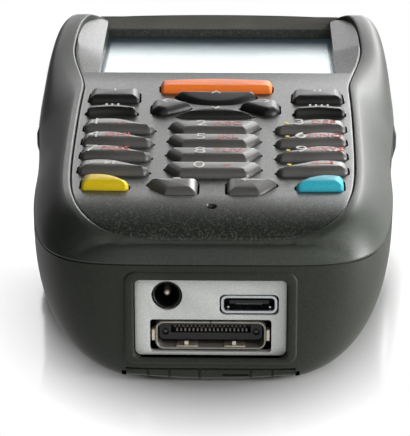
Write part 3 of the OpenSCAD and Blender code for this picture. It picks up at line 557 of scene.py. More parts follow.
def lit_screen(name, dark, pale, fade, half):
    """Blank display: a fine dot grain on a pale face, with painted shadow darkening it towards the brow,
    and a dark border at both sides.
    """
    material, tree, place = new_finish(name)
    along = add(tree, "ShaderNodeSeparateXYZ", {"Vector": place})
    # Painted shadow: the screen goes dark towards the brow, for the brow's shadow and reflection
    light = add(tree, "ShaderNodeMapRange", {
        "Value": along.outputs["Y"], "From Min": fade[1] * MM, "From Max": fade[0] * MM,
    }, interpolation_type="SMOOTHSTEP")
    aside = add(tree, "ShaderNodeMath", {0: along.outputs["X"]}, operation="ABSOLUTE")
    border = add(tree, "ShaderNodeMapRange", {
        "Value": aside.outputs[0],
        "From Min": (half + BORDER_SOFT) * MM, "From Max": (half - BORDER_SOFT) * MM,
    })
    dots = add(tree, "ShaderNodeTexNoise", {"Vector": place, "Scale": per_mm(0.25)})
    grain = add(tree, "ShaderNodeMapRange", {"Value": dots.outputs["Fac"], "To Min": 0.94, "To Max": 1.0})
    inside = add(tree, "ShaderNodeMath", {
        0: light.outputs["Result"], 1: border.outputs["Result"],
    }, operation="MULTIPLY")
    factor = add(tree, "ShaderNodeMath", {
        0: inside.outputs[0], 1: grain.outputs["Result"],
    }, operation="MULTIPLY")
    tone = add(tree, "ShaderNodeMix", {
        "Factor": factor.outputs[0], "A": linear(dark), "B": linear(pale),
    }, data_type="RGBA")
    shader = add(tree, "ShaderNodeBsdfPrincipled", {
        "Base Color": tone.outputs["Result"], "Emission Color": tone.outputs["Result"],
        "Emission Strength": 0.68, "Roughness": 0.4,
    })
    add(tree, "ShaderNodeOutputMaterial", {"Surface": shader.outputs["BSDF"]})
    return material


# Display film: even and pale, with the brow's shadow and reflection painted as a soft bluish shade along
# the far edge, and a dark border at the sides
screen_white = lit_screen("lit_blank_screen", "#323c43", "#b4babd", fade=(57.2, 67.6), half=26.4)


def clear_glass(name):
    """Polished cover glass: clear, with a trace of dust in its gloss."""
    material, tree, place = new_finish(name)
    dust = add(tree, "ShaderNodeTexNoise", {"Vector": place, "Scale": per_mm(3), "Detail": 3.0})
    gloss = add(tree, "ShaderNodeMapRange", {"Value": dust.outputs["Fac"], "To Min": 0.12, "To Max": 0.2})
    shader = add(tree, "ShaderNodeBsdfPrincipled", {
        "Base Color": linear("#f4f8f8"), "Roughness": gloss.outputs["Result"],
        "Transmission Weight": 1.0, "IOR": 1.13,
    })
    add(tree, "ShaderNodeOutputMaterial", {"Surface": shader.outputs["BSDF"]})
    return material


# Cover glass with a coat against reflections, hence the low IOR: the display shows through undimmed
cover_glass = clear_glass("polished_cover_glass")

# Housings
STEPS = np.linspace(0, math.pi / 2, 25)
GROOVE, SEAM_GAP = 0.28, 0.01
LEDGE, LEDGE_LEAST, INNER_WALL, INNER_FALL, INNER_LEAST = 0.8, 0.4, 2.9, 1.8, 0.15
RIM_EDGE = ((0.5, 0.0), (0.28, 0.03), (0.12, 0.12), (0.03, 0.26), (0.0, 0.45))


def below(height, d):
    """A height along y, lowered by a distance."""
    return lambda y: height(y) - d


def pocket(y):
    """Height of the ledge under the face plate, which stays above the seam."""
    return np.maximum(plate_floor(y), SEAM_Z + LEDGE_LEAST)


def cavity(y):
    """Height of the inside under that ledge, which also stays above the seam."""
    return np.maximum(plate_floor(y) - INNER_FALL, SEAM_Z + INNER_LEAST)


inner_wall = seam_ring(-INNER_WALL, SEAM_Z + SEAM_GAP)
inner_top = column(*inner_wall.T[:2], cavity(inner_wall[:, 1]))
front_rows = [seam_ring(-GROOVE, SEAM_Z + SEAM_GAP), seam_ring(0, SEAM_Z + GROOVE)]
front_rows += [front_ring(t) for t in STEPS[1:]]
front_rows += [plate_ring(FIT + g, below(rim_top, d)) for g, d in RIM_EDGE]
front_rows += [plate_ring(FIT, pocket), plate_ring(-LEDGE, pocket), plate_ring(-LEDGE, cavity)]
front_rows += [inner_top, inner_wall]
piece("front_shell", [loft(front_rows, "join")], front_abs, "housing", node="front_housing")

rear_rows = [rear_ring(t) for t in STEPS[::-1]]
rear_rows[-1][:, 2] -= GROOVE
rear_rows += [seam_ring(-d, SEAM_Z - SEAM_GAP) for d in (GROOVE, WALL)]
rear_rows += [rear_ring(t, WALL) for t in STEPS[1:]]

# Openings of the rear housing, and the pieces that fit them
FAR, END_WALL, CORNER = 100, 70, 1.2
PANEL_W, PANEL_H, PANEL_Z, PANEL_GAP = 28.4, 15.4, 13.3, 0.3
PANEL_OPENING = box_corners(PANEL_W + PANEL_GAP, PANEL_H + PANEL_GAP, (0, PANEL_Z))
SCAN_W, SCAN_H, SCAN_Z = 26.0, 10.0, 14.0
SCAN_OPENING = box_corners(SCAN_W, SCAN_H, (0, SCAN_Z))
DOOR_HALF, DOOR_FAR, DOOR_T, DOOR_TONGUE = 15.7, -5.0, 2.0, 0.8
SLOT_LOW, SLOT_TOP, LIP_BACK, LIP_ROOM = 0.99, 2.3, -70.65, 3.15
TRIGGER_Y, TRIGGER_L, TRIGGER_Z, TRIGGER_H, TRIGGER_BACK = 14.0, 32.0, 13.0, 9.8, 31
SCREWS, SCREW_HOLE = ((22.5, -64.5, 7.0), (33.0, 55.0, 15.0)), 2.8
SPEAKER_Y, SOUND_RING, SOUND_HOLE = 9.0, 5, 0.8
door_room, door_end = DOOR_HALF + SLIDE, DOOR_FAR + SLIDE
trigger_room = block(
    (TRIGGER_BACK, TRIGGER_Y - SLIDE, TRIGGER_Z - SLIDE),
    (FAR, TRIGGER_Y + TRIGGER_L + SLIDE, TRIGGER_Z + TRIGGER_H + SLIDE),
)
openings = [
    prism(rounded(PANEL_OPENING, [CORNER] * 4), -FAR, -END_WALL, axis=1),
    prism(rounded(SCAN_OPENING, [CORNER] * 4), END_WALL, FAR, axis=1),
    block((-door_room, -FAR, -1), (door_room, door_end, DOOR_T / 2)),
    block((-door_room - DOOR_TONGUE, -FAR, SLOT_LOW), (door_room + DOOR_TONGUE, door_end, SLOT_TOP)),
    block((-door_room, -FAR, DOOR_T), (door_room, LIP_BACK, LIP_ROOM)),
]
openings += both_sides(trigger_room, *[prism(circle(SCREW_HOLE, (x, y)), -1, z) for x, y, z in SCREWS])
sound = np.vstack([(0, 0), circle(SOUND_RING, n=6)]) + (0, SPEAKER_Y)
openings += [prism(circle(SOUND_HOLE, at, n=20), -1, WALL + 1) for at in sound]
piece("rear_shell", [loft(rear_rows)], shaded_rear_abs, "housing_back", node="rear_housing", cuts=openings)

# Insets and places along y of the frames' edges, from the outside round to the opening
FRAME_OUT = ((0.0, 74.0), (0.0, 75.75), (0.08, 75.98), (0.25, 76.13), (0.5, 76.2))
FRAME_IN = ((0.42, 76.2), (0.2, 76.14), (0.05, 75.98), (0.0, 75.7), (0.0, 74.0))
FRAME_R, PANEL_FRAME, PANEL_FRAME_Z, SCAN_FRAME = 2.2, (32.4, 18.6), 13.6, (30, 14)


def surround(outer, opening, side):
    """Raised frame in an end wall: a ring through insets of its outer corners and of its opening's."""
    rows = [(outer, FRAME_R, d, y) for d, y in FRAME_OUT] + [(opening, CORNER, -d, y) for d, y in FRAME_IN]
    return loft([upright(rounded(*inset(p, [r] * 4, d), n=8), side * y) for p, r, d, y in rows], "join")


for name, outer, opening, side in (
    ("panel_frame", box_corners(*PANEL_FRAME, (0, PANEL_FRAME_Z)), PANEL_OPENING, -1),
    ("scan_frame", box_corners(*SCAN_FRAME, (0, SCAN_Z)), SCAN_OPENING, 1),
):
    piece(name, [surround(outer, opening, side)], shaded_rear_abs, "housing_back")

# Keys: gap to the edge of the face plate at the sides, and how much nearer the middle ones sit
WING_GAP, HEX_DOWN = 1.6, 1.3


def wing(y):
    """Corners of a number key at the side, from its inner tip to the edge of the face plate."""
    x = plate_half(np.array([y]))[0] - WING_GAP
    near = [(-x, y - 2.6), (-20, y - 3.4), (-13.4, y - 3.6)]
    return near + [(-12.2, y - 1.8), (-21.5, y + 4.6), (-x, y + 2.2)]


def hexagon(y):
    """Corners of a number key in the middle."""
    c = y - HEX_DOWN
    right = [(6.8, c - 3.5), (9.7, c + 1.6), (8.6, c + 3.5)]
    return [(-6.8, c - 3.5), *right, (-8.6, c + 3.5), (-9.7, c + 1.6)]


def flipped(corners, radii):
    """The same corners on the other side, still anticlockwise."""
    return [(-x, y) for x, y in corners[::-1]], radii[::-1]


# Each outline: its corners, and then the radius of each corner
SCAN = [(-12.3, 11.8), (12.3, 11.8), (12.5, 17.4), (0, 19.2), (-12.5, 17.4)], [0.8, 0.8, 1.2, 40, 1.2]
UP = [(0, -9.2), (8.9, 8.0), (8.4, 9.8), (-8.4, 9.8), (-8.9, 8.0)], [9.7, 0.7, 0.7, 0.7, 0.7]
DOWN = [(-8.8, -7.2), (8.8, -7.2), (3.6, -3.4), (-3.6, -3.4)], [0.3, 0.3, 5, 5]
LEFT = [(-13.8, -4.4), (-11, -6.4), (-5, -0.4), (-10.3, 4.2), (-13.8, 2)], [1.8, 2, 0.6, 2, 1.8]
UPPER = [(-27.8, 3.6), (-16.6, 3.6), (-16.9, 11.5), (-27.6, 11.4)], [1, 1, 1, 1]
LOWER = (
    [(-27.7, -6.4), (-22.2, -5), (-16.6, -6.4), (-16.8, -3.8), (-22.2, -1.2), (-27.7, -3.6)],
    [0.8, 14, 0.8, 0.8, 8, 0.8],
)
FIN = [(-25.4, -55.7), (-16.2, -55.9), (-16.2, -53.6), (-20.6, -48), (-25.5, -50)], [0.8, 0.8, 0.8, 6, 1]
TAB = [(-9.3, -58.3), (-2.8, -58.3), (-2.8, -51.4), (-12.2, -51.5), (-12.6, -53)], [1, 0.7, 0.7, 0.5, 0.6]
WING_R, HEX_R = [1.2, 20, 0.9, 0.6, 7.5, 1.2], [1, 1, 0.8, 0.6, 0.6, 0.8]
FIRST_ROW, ROW_PITCH = -15.3, 9.4
NUMBER_ROWS = (
    ("key_1", "key_2", "key_3"), ("key_4", "key_5", "key_6"),
    ("key_7", "key_8", "key_9"), ("tab_key", "key_0", "enter_key"),
)
ROW_Y = [FIRST_ROW - ROW_PITCH * r for r in range(len(NUMBER_ROWS))]
keys = {"scan_key": SCAN, "up_key": UP, "down_key": DOWN}
for left, right, outline in (
    ("left_key", "right_key", LEFT),
    ("upper_left_key", "upper_right_key", UPPER),
    ("lower_left_key", "lower_right_key", LOWER),
    ("yellow_key", "cyan_key", FIN),
    ("grey_left_key", "grey_right_key", TAB),
):
    keys[left] = outline
    keys[right] = flipped(*outline)
for y, (left, middle, right) in zip(ROW_Y, NUMBER_ROWS):
    keys[left] = wing(y), WING_R
    keys[middle] = hexagon(y), HEX_R
    keys[right] = flipped(wing(y), WING_R)

DARK_KEYS = (
    "up_key", "down_key", "left_key", "right_key",
    "upper_left_key", "upper_right_key", "lower_left_key", "lower_right_key",
)
KEY_FINISH = {name: (grey_rubber, "key_grey") for name in keys}
KEY_FINISH |= {name: (dark_rubber, "key_grey") for name in DARK_KEYS}
KEY_FINISH["scan_key"] = orange_rubber, "key_orange"
KEY_FINISH["yellow_key"] = yellow_rubber, "key_yellow"
KEY_FINISH["cyan_key"] = cyan_rubber, "key_cyan"
KEY_BOTTOM, KEY_TOP, CROWN = 27.0, 33.7, 0.11
# Inset and height above the foot of each row of a key's side and shoulder
KEY_ROWS = (
    (0.0, 0.0), (0.0, 4.9), (0.04, 5.25), (0.12, 5.56), (0.24, 5.84),
    (0.4, 6.08), (0.58, 6.27), (0.78, 6.42), (0.97, 6.53), (1.12, 6.59),
)
STRAIGHT = KEY_ROWS[1][1]
CROWN_SHARES = (0.86, 0.7, 0.5, 0.28, 0.1)
# Multiple of the insets in a key's shoulder, where it is narrower than most
SHOULDER = {"scan_key": 0.8, "lower_left_key": 0.9, "lower_right_key": 0.9, "down_key": 1.0}
SHOULDER |= {"left_key": 1.3, "right_key": 1.3}
WIDE_SHOULDER = 1.4
# Keys whose top falls towards the user: the slope, and the far edge that it starts from
TILT = {"up_key": (0.17, 9.8), "down_key": (0.15, -3.4)}
TILT |= {"grey_left_key": (0.1, -51.4), "grey_right_key": (0.1, -51.4)}


def tilted(shape, name):
    """Key or mark whose top falls by its key's slope from its far edge, if any; its foot stays level."""
    slope, far = TILT.get(name, (0, 0))
    points, faces = shape[0].copy(), shape[1]
    rise = np.clip((points[:, 2] - KEY_BOTTOM) / STRAIGHT, 0, 1)
    points[:, 2] -= slope * (far - points[:, 1]) * rise
    return points, faces


def key_shape(corners, radii, shoulder):
    """Key cap: straight sides and a rounded shoulder, as insets of one outline, and a crowned top.

    The crown is the last inset drawn in to its middle, and rises by one less the share squared.
    """
    rows = [level(rounded(*inset(corners, radii, d * shoulder), n=10), KEY_BOTTOM + z) for d, z in KEY_ROWS]
    brim, middle = rows[-1], rows[-1].mean(0)
    for k in CROWN_SHARES:
        rows.append(middle + k * (brim - middle) + [0, 0, CROWN * (1 - k * k)])
    return loft(rows)


for name, outline in keys.items():
    finish, slot = KEY_FINISH[name]
    shape = key_shape(*outline, SHOULDER.get(name, WIDE_SHOULDER))
    piece(name + "_cap", [tilted(shape, name)], finish, slot, body=name, node=name)

# Face plate and display
VIEW_HALF, VIEW_Y0, VIEW_Y1 = 27.2, 27.7, 68.2
GLASS_HALF, GLASS_Y0, GLASS_Y1, GLASS_UNDER, GLASS_Z = 28.1, 26.3, 70.3, 28.5, 30.0
SCREEN_IN, SCREEN_UNDER, SCREEN_Z = 0.5, 24.5, 28.48
ABOVE = 40.0
# Well around the display: height at its near edge and its rise, and the slope of the ears beside it
WELL_Z, WELL_RISE = 31.7, 2.09 / (VIEW_Y1 - VIEW_Y0)
EAR_EDGE, EAR_END, EAR_STEEP, EAR_OUT, EAR_ABOVE = 0.8, 62.0, 0.28, 36.0, 45.0
# Brow behind the display: it rises steeply from the glass, rolls back to its top, and carries a thin strip
# of painted light
BROW_FOOT, BROW_L, BROW_H, BROW_SHARE = 32.4, 3.2, 2.15, np.linspace(0, 1, 9)
BROW_Y = VIEW_Y1 + BROW_L * BROW_SHARE**1.6
BROW_Z = BROW_FOOT + BROW_H * BROW_SHARE**0.85
BROW_SKIN, BROW_LAP, BROW_GAP = 0.3, 0.02, 0.03
ACROSS = np.linspace(-1, 1, 25)
# Bow of the brow: its height, the share above its straight line, its half-width, its run-out and its foot
BOW, BOW_LEVEL, BOW_HALF, BOW_END, BOW_FOOT = 0.55, 0.36, 28.0, 2, (30.5, 32.5)
# Hole of the microphone, and the radius and height of each row of its lead-in
MIC, MIC_HOLE = (0, -64.1), 0.8
MIC_EDGE = ((0.7, 30.6), (0.8, 31.0), (1.15, 31.65), (1.4, 33.0))
PLATE_EDGE = ((0.0, 0.4), (0.06, 0.16), (0.2, 0.03), (0.4, 0.0))
PLATE_SHARES = np.concatenate([np.linspace(1, 0.75, 26)[1:], np.linspace(0.75, 0, 24)[1:-1]])


def plate_shape():
    """Face plate: floor, rounded edge, and a top whose rows are the edge drawn in to the middle."""
    edge = [plate_ring(-g, below(plate_top, d)) for g, d in PLATE_EDGE]
    x, y, _ = edge[-1].T
    top = [column(x * k, y * k, plate_top(y * k)) for k in PLATE_SHARES]
    return loft([plate_ring(0, plate_floor)] + edge + top)


def well_z(y):
    """Height of the well's edge beside the display, which rises evenly towards the brow."""
    return WELL_Z + WELL_RISE * (y - VIEW_Y0)


def ear_fall(y):
    """Slope of the ears along y: up to the face plate's own edge, and no steeper than a limit."""
    y = np.minimum(y, EAR_END)
    return np.minimum((plate_top(y) - well_z(y)) / (plate_half(y) - EAR_EDGE - VIEW_HALF), EAR_STEEP)


def ear_cut(y):
    """Loop across the well at a place along y: level floor, and sides that slope out over the ears."""
    z = well_z(y)
    half = [(VIEW_HALF, z), (EAR_OUT, z + ear_fall(y) * (EAR_OUT - VIEW_HALF)), (EAR_OUT, EAR_ABOVE)]
    return upright(np.array([(-x, h) for x, h in half[::-1]] + half), y)


def brow_half(y, z):
    """Half-width of the well beside the brow: straight up from the glass, then out along the ear."""
    return VIEW_HALF + np.maximum(z - well_z(y), 0) / ear_fall(y)


def brow_cut(y, z):
    """Loop across the well at a place along y: level floor, sides up to the ears, and out above them."""
    foot = max(z, well_z(y)) + BROW_LAP
    walls = [(brow_half(y, h), h) for h in (foot, ABOVE)]
    floor_line = [(k * brow_half(y, z), z) for k in ACROSS]
    return upright(np.array([(-x, h) for x, h in walls[::-1]] + floor_line + walls), y)


def brow_strip(y, z):
    """Loop across the brow's strip of painted light: a thin strip as wide as the well."""
    x = ACROSS * (brow_half(y, z) - BROW_GAP)
    under = np.stack([x, np.full_like(x, z - BROW_SKIN)], 1)
    over = np.stack([x[::-1], np.full_like(x, z)], 1)
    return upright(np.vstack([under, over]), y)


def bowed(shape):
    """Shape at the brow, bowed from its foot up: raised in the middle, lower by the way out squared."""
    points, faces = shape[0].copy(), shape[1]
    x, y, z = points.T
    bow = BOW * (BOW_LEVEL - (x / BOW_HALF) ** 2) * (1 - smooth(BOW_HALF, BOW_HALF + BOW_END, np.abs(x)))
    points[:, 2] += bow * smooth(VIEW_Y1, BROW_Y[-1], y) * smooth(*BOW_FOOT, z)
    return points, faces


well = [(-VIEW_HALF, VIEW_Y0), (VIEW_HALF, VIEW_Y0), (VIEW_HALF, VIEW_Y1), (-VIEW_HALF, VIEW_Y1)]
brow_cuts = [brow_cut(VIEW_Y1 - 1, BROW_Z[0] - BROW_SKIN)]
brow_cuts += [brow_cut(y, z - BROW_SKIN) for y, z in zip(BROW_Y, BROW_Z)]
holes = [
    loft([ear_cut(y) for y in np.linspace(VIEW_Y0, VIEW_Y1, num=40)]),
    bowed(loft(brow_cuts)),
    prism(np.array(well), 0, ABOVE),
    block((-GLASS_HALF - FIT, GLASS_Y0 - FIT, 0), (GLASS_HALF + FIT, GLASS_Y1 + FIT, GLASS_Z)),
    prism(circle(MIC_HOLE, MIC), 0, ABOVE),
    loft([level(circle(r, MIC), z) for r, z in MIC_EDGE]),
]
holes += [prism(rounded(*inset(*outline, -SLIDE), n=10), 0, ABOVE) for outline in keys.values()]
plate = piece("keypad_face", [bowed(plate_shape())], face_paint, "face", node="face_plate", cuts=holes)
even_shading(plate)
# Painted light: a thin, lighter strip on the brow's leaning face, for the light that falls on it
brow_light_strip = bowed(loft([brow_strip(y, z) for y, z in zip(BROW_Y, BROW_Z)]))
piece("brow_painted_light_strip", [brow_light_strip], brow_light_paint, "face")

glass = block((-GLASS_HALF, GLASS_Y0, GLASS_UNDER), (GLASS_HALF, GLASS_Y1, GLASS_Z))
piece("cover_glass", [glass], cover_glass, "window", node="display_window", edge=0.15, sharp=BOXY)
screen_half = GLASS_HALF - SCREEN_IN
screen = block((-screen_half, GLASS_Y0 + SCREEN_IN, SCREEN_UNDER), (screen_half, GLASS_Y1, SCREEN_Z))
piece("screen_module", [screen], screen_white, "module", node="display_module", edge=0.3, sharp=BOXY)

# Side triggers: corners and radii of the cross-section, and the inset and place of each row at an end
TRIGGER_TOP = TRIGGER_Z + TRIGGER_H
TRIGGER_SIDE = (
    [(36.2, TRIGGER_Z), (38.7, TRIGGER_Z), (40.3, 18.88), (40.3, TRIGGER_TOP), (36.2, TRIGGER_TOP)],
    [0.3, 1.4, 4, 1.4, 0.3],
)
TRIGGER_ROWS = ((0.7, 0.0), (0.35, 0.08), (0.12, 0.3), (0.0, 0.7))


def trigger_shape():
    """Trigger bar: one cross-section carried along y, drawn in over both ends."""
    places = [(d, TRIGGER_Y + y) for d, y in TRIGGER_ROWS]
    places += [(d, TRIGGER_Y + TRIGGER_L - y) for d, y in TRIGGER_ROWS[::-1]]
    return loft([upright(rounded(*inset(*TRIGGER_SIDE, d)), y) for d, y in places])


for side, shape in (("right", trigger_shape()), ("left", mirrored(trigger_shape()))):
    trigger = side + "_trigger"
    piece(trigger + "_bar", [shape], trigger_rubber, "trigger", body=trigger, node=trigger)

# Connector panel: places in x and z, outlines and holes of its ports
PANEL_Y, PANEL_BACK, PORT_Y = -74.5, -72.9, -74.3
JACK_AT, JACK_HOLE = (-8.2, 17.5), 2.9
SERIAL_AT, SERIAL_SIZE, SERIAL_HOLE = (7.2, 15.75), (10.2, 3.2), (11.1, 4.1)
DOCK_AT, DOCK_SIZE, DOCK_HOLE = (0.0, 9.45), (20.8, 5.6), (22.8, 6.6)
panel = prism(round_box(PANEL_W, PANEL_H, CORNER, (0, PANEL_Z)), PANEL_Y, PANEL_BACK, axis=1)
ports = [circle(JACK_HOLE, JACK_AT, n=64)]
ports += [round_box(*SERIAL_HOLE, r=1.0, at=SERIAL_AT), round_box(*DOCK_HOLE, r=0.6, at=DOCK_AT)]
piece(
    "port_panel", [panel], silver_paint, "panel", node="connector_panel",
    cuts=[prism(port, -FAR, FAR, axis=1) for port in ports], edge=0.3, segments=3, sharp=BOXY,
)


def turned(profile, at, n=48):
    """Round part along y: circles whose radius and place follow a profile."""
    return loft([upright(circle(r, at, n), y) for r, y in profile])


SLEEVE_T, SLEEVE_FLOOR = 0.4, 0.6


def sleeve(corners, r, back, flare=0.0):
    """Metal sleeve that is open towards -y: outer wall, lip that may flare out, and inner wall."""
    lip = [(0, 0.4), (-flare, 0.3), (-flare, 0.12), (0.1 - flare, 0), (SLEEVE_T - 0.1, 0), (SLEEVE_T, 0.15)]
    rows = [(0, back)] + [(d, PORT_Y + y) for d, y in lip] + [(SLEEVE_T, back - SLEEVE_FLOOR)]
    return loft([upright(rounded(*inset(corners, [r] * 4, d), n=8), y) for d, y in rows])


# Power jack: radius and place along y of each row
JACK_ROWS = ((2.75, -63.9), (2.75, -73.8), (2.65, -74.0), (2.5, -74.0), (2.35, -73.85), (2.35, -64.5))
PIN_ROWS = ((0.62, -64.6), (0.62, -72.6), (0.52, -72.85), (0.3, -73.0))
piece("jack_body", [turned(JACK_ROWS, JACK_AT)], black_nylon, "insulator", node="power_jack")
piece("jack_pin", [turned(PIN_ROWS, JACK_AT, n=24)], plated_pin, "contact", node="power_jack_pin")

# Serial socket: sleeve, tongue on its seat, pins under the tongue, and two catches
SERIAL_BACK, SERIAL_FLARE = -66.3, 0.22
SERIAL_SEAT_Y, SERIAL_SEAT_IN = (-70.5, -67.0), 1
SERIAL_TONGUE, SERIAL_TONGUE_UP, SERIAL_TONGUE_Y = (7.4, 0.7), 0.25, (-73.6, -68.0)
SERIAL_PINS, SERIAL_PITCH, SERIAL_PIN_W = 10, 0.5, 0.26
SERIAL_PIN_Y, SERIAL_PIN_Z, SERIAL_PIN_T = (-73.45, -68.5), -0.17, 0.22
CATCH_X, CATCH_Z, CATCH_ROWS = 3.9, -0.85, ((0.3, -71), (0.3, -73.2), (0.18, -73.45))
serial_x, serial_z = SERIAL_AT
serial_w, serial_h = SERIAL_SIZE
shell = sleeve(box_corners(*SERIAL_SIZE, SERIAL_AT), r=1.0, back=SERIAL_BACK, flare=SERIAL_FLARE)
piece("serial_sleeve", [shell], tinned_steel, "port_shell", node="serial_shell")
seat_end = round_box(serial_w - SERIAL_SEAT_IN, serial_h - SERIAL_SEAT_IN, r=0.5, at=SERIAL_AT)
tongue_end = round_box(*SERIAL_TONGUE, r=0.2, at=(serial_x, serial_z + SERIAL_TONGUE_UP))
tongue = [prism(seat_end, *SERIAL_SEAT_Y, axis=1), prism(tongue_end, *SERIAL_TONGUE_Y, axis=1)]
piece("serial_core", tongue, black_nylon, "insulator", node="serial_tongue")
pin_x = serial_x + (np.arange(SERIAL_PINS) - (SERIAL_PINS - 1) / 2) * SERIAL_PITCH
pin_end = box_corners(SERIAL_PIN_W, SERIAL_PIN_T, (0, serial_z + SERIAL_PIN_Z))
pins = [prism(pin_end + (x, 0), *SERIAL_PIN_Y, axis=1) for x in pin_x]
piece("serial_pins", pins, spring_steel, "contact", edge=0.05, segments=1, sharp=BOXY)
catches = [turned(CATCH_ROWS, (serial_x + side * CATCH_X, serial_z + CATCH_Z), n=16) for side in (-1, 1)]
piece("serial_catches", catches, spring_steel, "port_shell")

# Docking connector: split sleeve, insulator with a trough and two rings, posts, contacts and springs
DOCK_BACK, DOCK_SLIT = -64.8, ((-0.13, -75, 11.4), (0.13, -71.5, 12.6))
CORE_SIZE, CORE_Z, CORE_Y = (19.4, 3.5), 9.95, (-73.2, -65.6)
TROUGH_HALF, TROUGH_Z, TROUGH_BACK = 7.5, (-0.35, 1.2), -71.4
RING_X, RING_DOWN, RING_R, RING_BACK = 8.55, 0.15, 0.68, -72.6
POST_ROWS = ((0.34, -72.4), (0.34, -73.0), (0.24, -73.1))
CONTACTS, CONTACT_PITCH, CONTACT_HALF = 18, 0.77, 0.17
# Slanted blade of a contact, in y and in height above its row
BLADE = np.array([[-72.7, -0.24], [-71.3, -0.24], [-71.3, 0.24], [-72.3, 0.24]])
CONTACT_ROWS = ((0.82, -0.25), (-0.02, 0.25))
SIDE_SPRING = ((10.45, -74.15, 8.3), (11.1, -72.6, 10.6))
LEAF_X, LEAF_L, LEAF_Y, LEAF_Z = (-6.5, 2.5), 4.0, (-74.1, -70.5), (7.0, 7.32)
BEND_X, BEND_Y, BEND_Z = (1.5, 2.3), (-73.9, -73.5), (7.3, 8.15)
OUTSIDE = -80
shell = sleeve(box_corners(*DOCK_SIZE, DOCK_AT), r=1.6, back=DOCK_BACK)
piece("dock_sleeve", [shell], dull_nickel, "port_shell", node="dock_shell", cuts=[block(*DOCK_SLIT)])
core = prism(round_box(*CORE_SIZE, r=0.9, at=(0, CORE_Z)), *CORE_Y, axis=1)
ring_at = [(side * RING_X, CORE_Z - RING_DOWN) for side in (-1, 1)]
core_cuts = [block(
    (-TROUGH_HALF, OUTSIDE, CORE_Z + TROUGH_Z[0]), (TROUGH_HALF, TROUGH_BACK, CORE_Z + TROUGH_Z[1]),
)]
core_cuts += [prism(circle(RING_R, at), OUTSIDE, RING_BACK, axis=1) for at in ring_at]
piece(
    "dock_core", [core], black_nylon, "insulator", node="dock_insulator",
    cuts=core_cuts, edge=0.1, sharp=BOXY,
)
piece("dock_posts", [turned(POST_ROWS, at, n=20) for at in ring_at], module_plastic, "insulator")


def contact_row(up, shift):
    """Row of contacts on one pitch: each a slanted blade that stands out of the insulator."""
    places = (np.arange(CONTACTS) - (CONTACTS - 1) / 2 + shift) * CONTACT_PITCH
    blade = BLADE + (0, CORE_Z + up)
    return [prism(blade, x - CONTACT_HALF, x + CONTACT_HALF, axis=0) for x in places]


comb = [blade for row in CONTACT_ROWS for blade in contact_row(*row)]
piece("dock_comb", comb, dull_nickel, "contact", node="dock_contacts", sharp=BOXY)
springs = both_sides(block(*SIDE_SPRING))
for x in LEAF_X:
    springs.append(block((x, LEAF_Y[0], LEAF_Z[0]), (x + LEAF_L, LEAF_Y[1], LEAF_Z[1])))
    springs.append(block((x + BEND_X[0], BEND_Y[0], BEND_Z[0]), (x + BEND_X[1], BEND_Y[1], BEND_Z[1])))
piece("dock_springs", springs, plated_pin, "port_shell", edge=0.14, sharp=BOXY)

# Battery door: panel with grip grooves, lip at the near end, and tongues that run in the housing
DOOR_NEAR = -71.6
DOOR_SIDE = (
    [(DOOR_NEAR, 0.0), (DOOR_FAR, 0.0), (DOOR_FAR, DOOR_T), (DOOR_NEAR, DOOR_T)],
    [0.6, 0.3, 0.2, 0.2],
)
GRIP_Y, GRIP_R, GRIP_Z, GRIP_HALF = np.arange(-27.0, -11.0, 2.4), 0.75, -0.25, 10
LIP_TOP, LIP_ARCH, LIP_HALF = 2.8, 1.2, 15.9
LIP_SIDE = (
    [(-71.2, 0.2), (-71.2, LIP_TOP), (-74.6, LIP_TOP), (-74.6, 1.1), (-74.0, 0.5), (-72.2, 0.0)],
    [0.2, 0.2, 0.4, 0.3, 0.5, 1.0],
)
LIP_GROOVES, GROOVE_HALF, GROOVE_Z, GROOVE_BACK = (-11.8, -7.8, -2.1, 7.6, 11.7), 0.22, (0.2, 3.2), -74.15
LIP_SLOT = ((2.2, OUTSIDE, 1.35), (7.2, -74.2, 1.75))
DOOR_TONGUE_BOX = ((15.2, -72.8, 1.35), (16.4, DOOR_FAR, DOOR_T))
DOOR = {"finish": shaded_rear_abs, "slot": "housing_back", "body": "battery_door"}
door = prism(rounded(*DOOR_SIDE, n=4), -DOOR_HALF, DOOR_HALF, axis=0)
grips = [prism(circle(GRIP_R, (y, GRIP_Z), n=20), -GRIP_HALF, GRIP_HALF, axis=0) for y in GRIP_Y]
piece("door_panel", [door], node="battery_door", cuts=grips, edge=0.16, sharp=BOXY, **DOOR)


def lip_row(x):
    """Door's lip at a place across: its underside rises with the square of the way out."""
    y, z = rounded(*LIP_SIDE, n=4).T
    return column(x, y, z + LIP_ARCH * (x / DOOR_HALF) ** 2 * (1 - z / LIP_TOP))


lip = loft([lip_row(x) for x in np.linspace(-LIP_HALF, LIP_HALF, num=33)])
lip_cuts = [
    block((x - GROOVE_HALF, OUTSIDE, GROOVE_Z[0]), (x + GROOVE_HALF, GROOVE_BACK, GROOVE_Z[1]))
    for x in LIP_GROOVES
]
piece("door_lip", [lip], cuts=lip_cuts + [block(*LIP_SLOT)], sharp=28, **DOOR)
piece("door_tongues", both_sides(block(*DOOR_TONGUE_BOX)), edge=0.12, sharp=BOXY, **DOOR)

# Housing screws: radius and height of each row of a head and its shank, and the hexagon socket
HEAD_ROWS = ((1.9, 0.0), (2.2, 0.12), (2.35, 0.4), (2.35, 1.8), (1.1, 1.8), (1.1, 8.0))
HEAD_H, SOCKET_R, SOCKET_LOW, SOCKET_DEEP = 1.8, 1.15, 3, 0.7
heads = [
    loft([level(circle(r, (x, y), n=32), z - HEAD_H + up) for r, up in HEAD_ROWS])
    for x, y, z in SCREWS
]
sockets = [prism(circle(SOCKET_R, (x, y), n=6), z - SOCKET_LOW, z - SOCKET_DEEP) for x, y, z in SCREWS]
screws = both_sides(*heads)
piece("screw_heads", screws, screw_steel, "fastener", node="housing_screws", cuts=both_sides(*sockets))

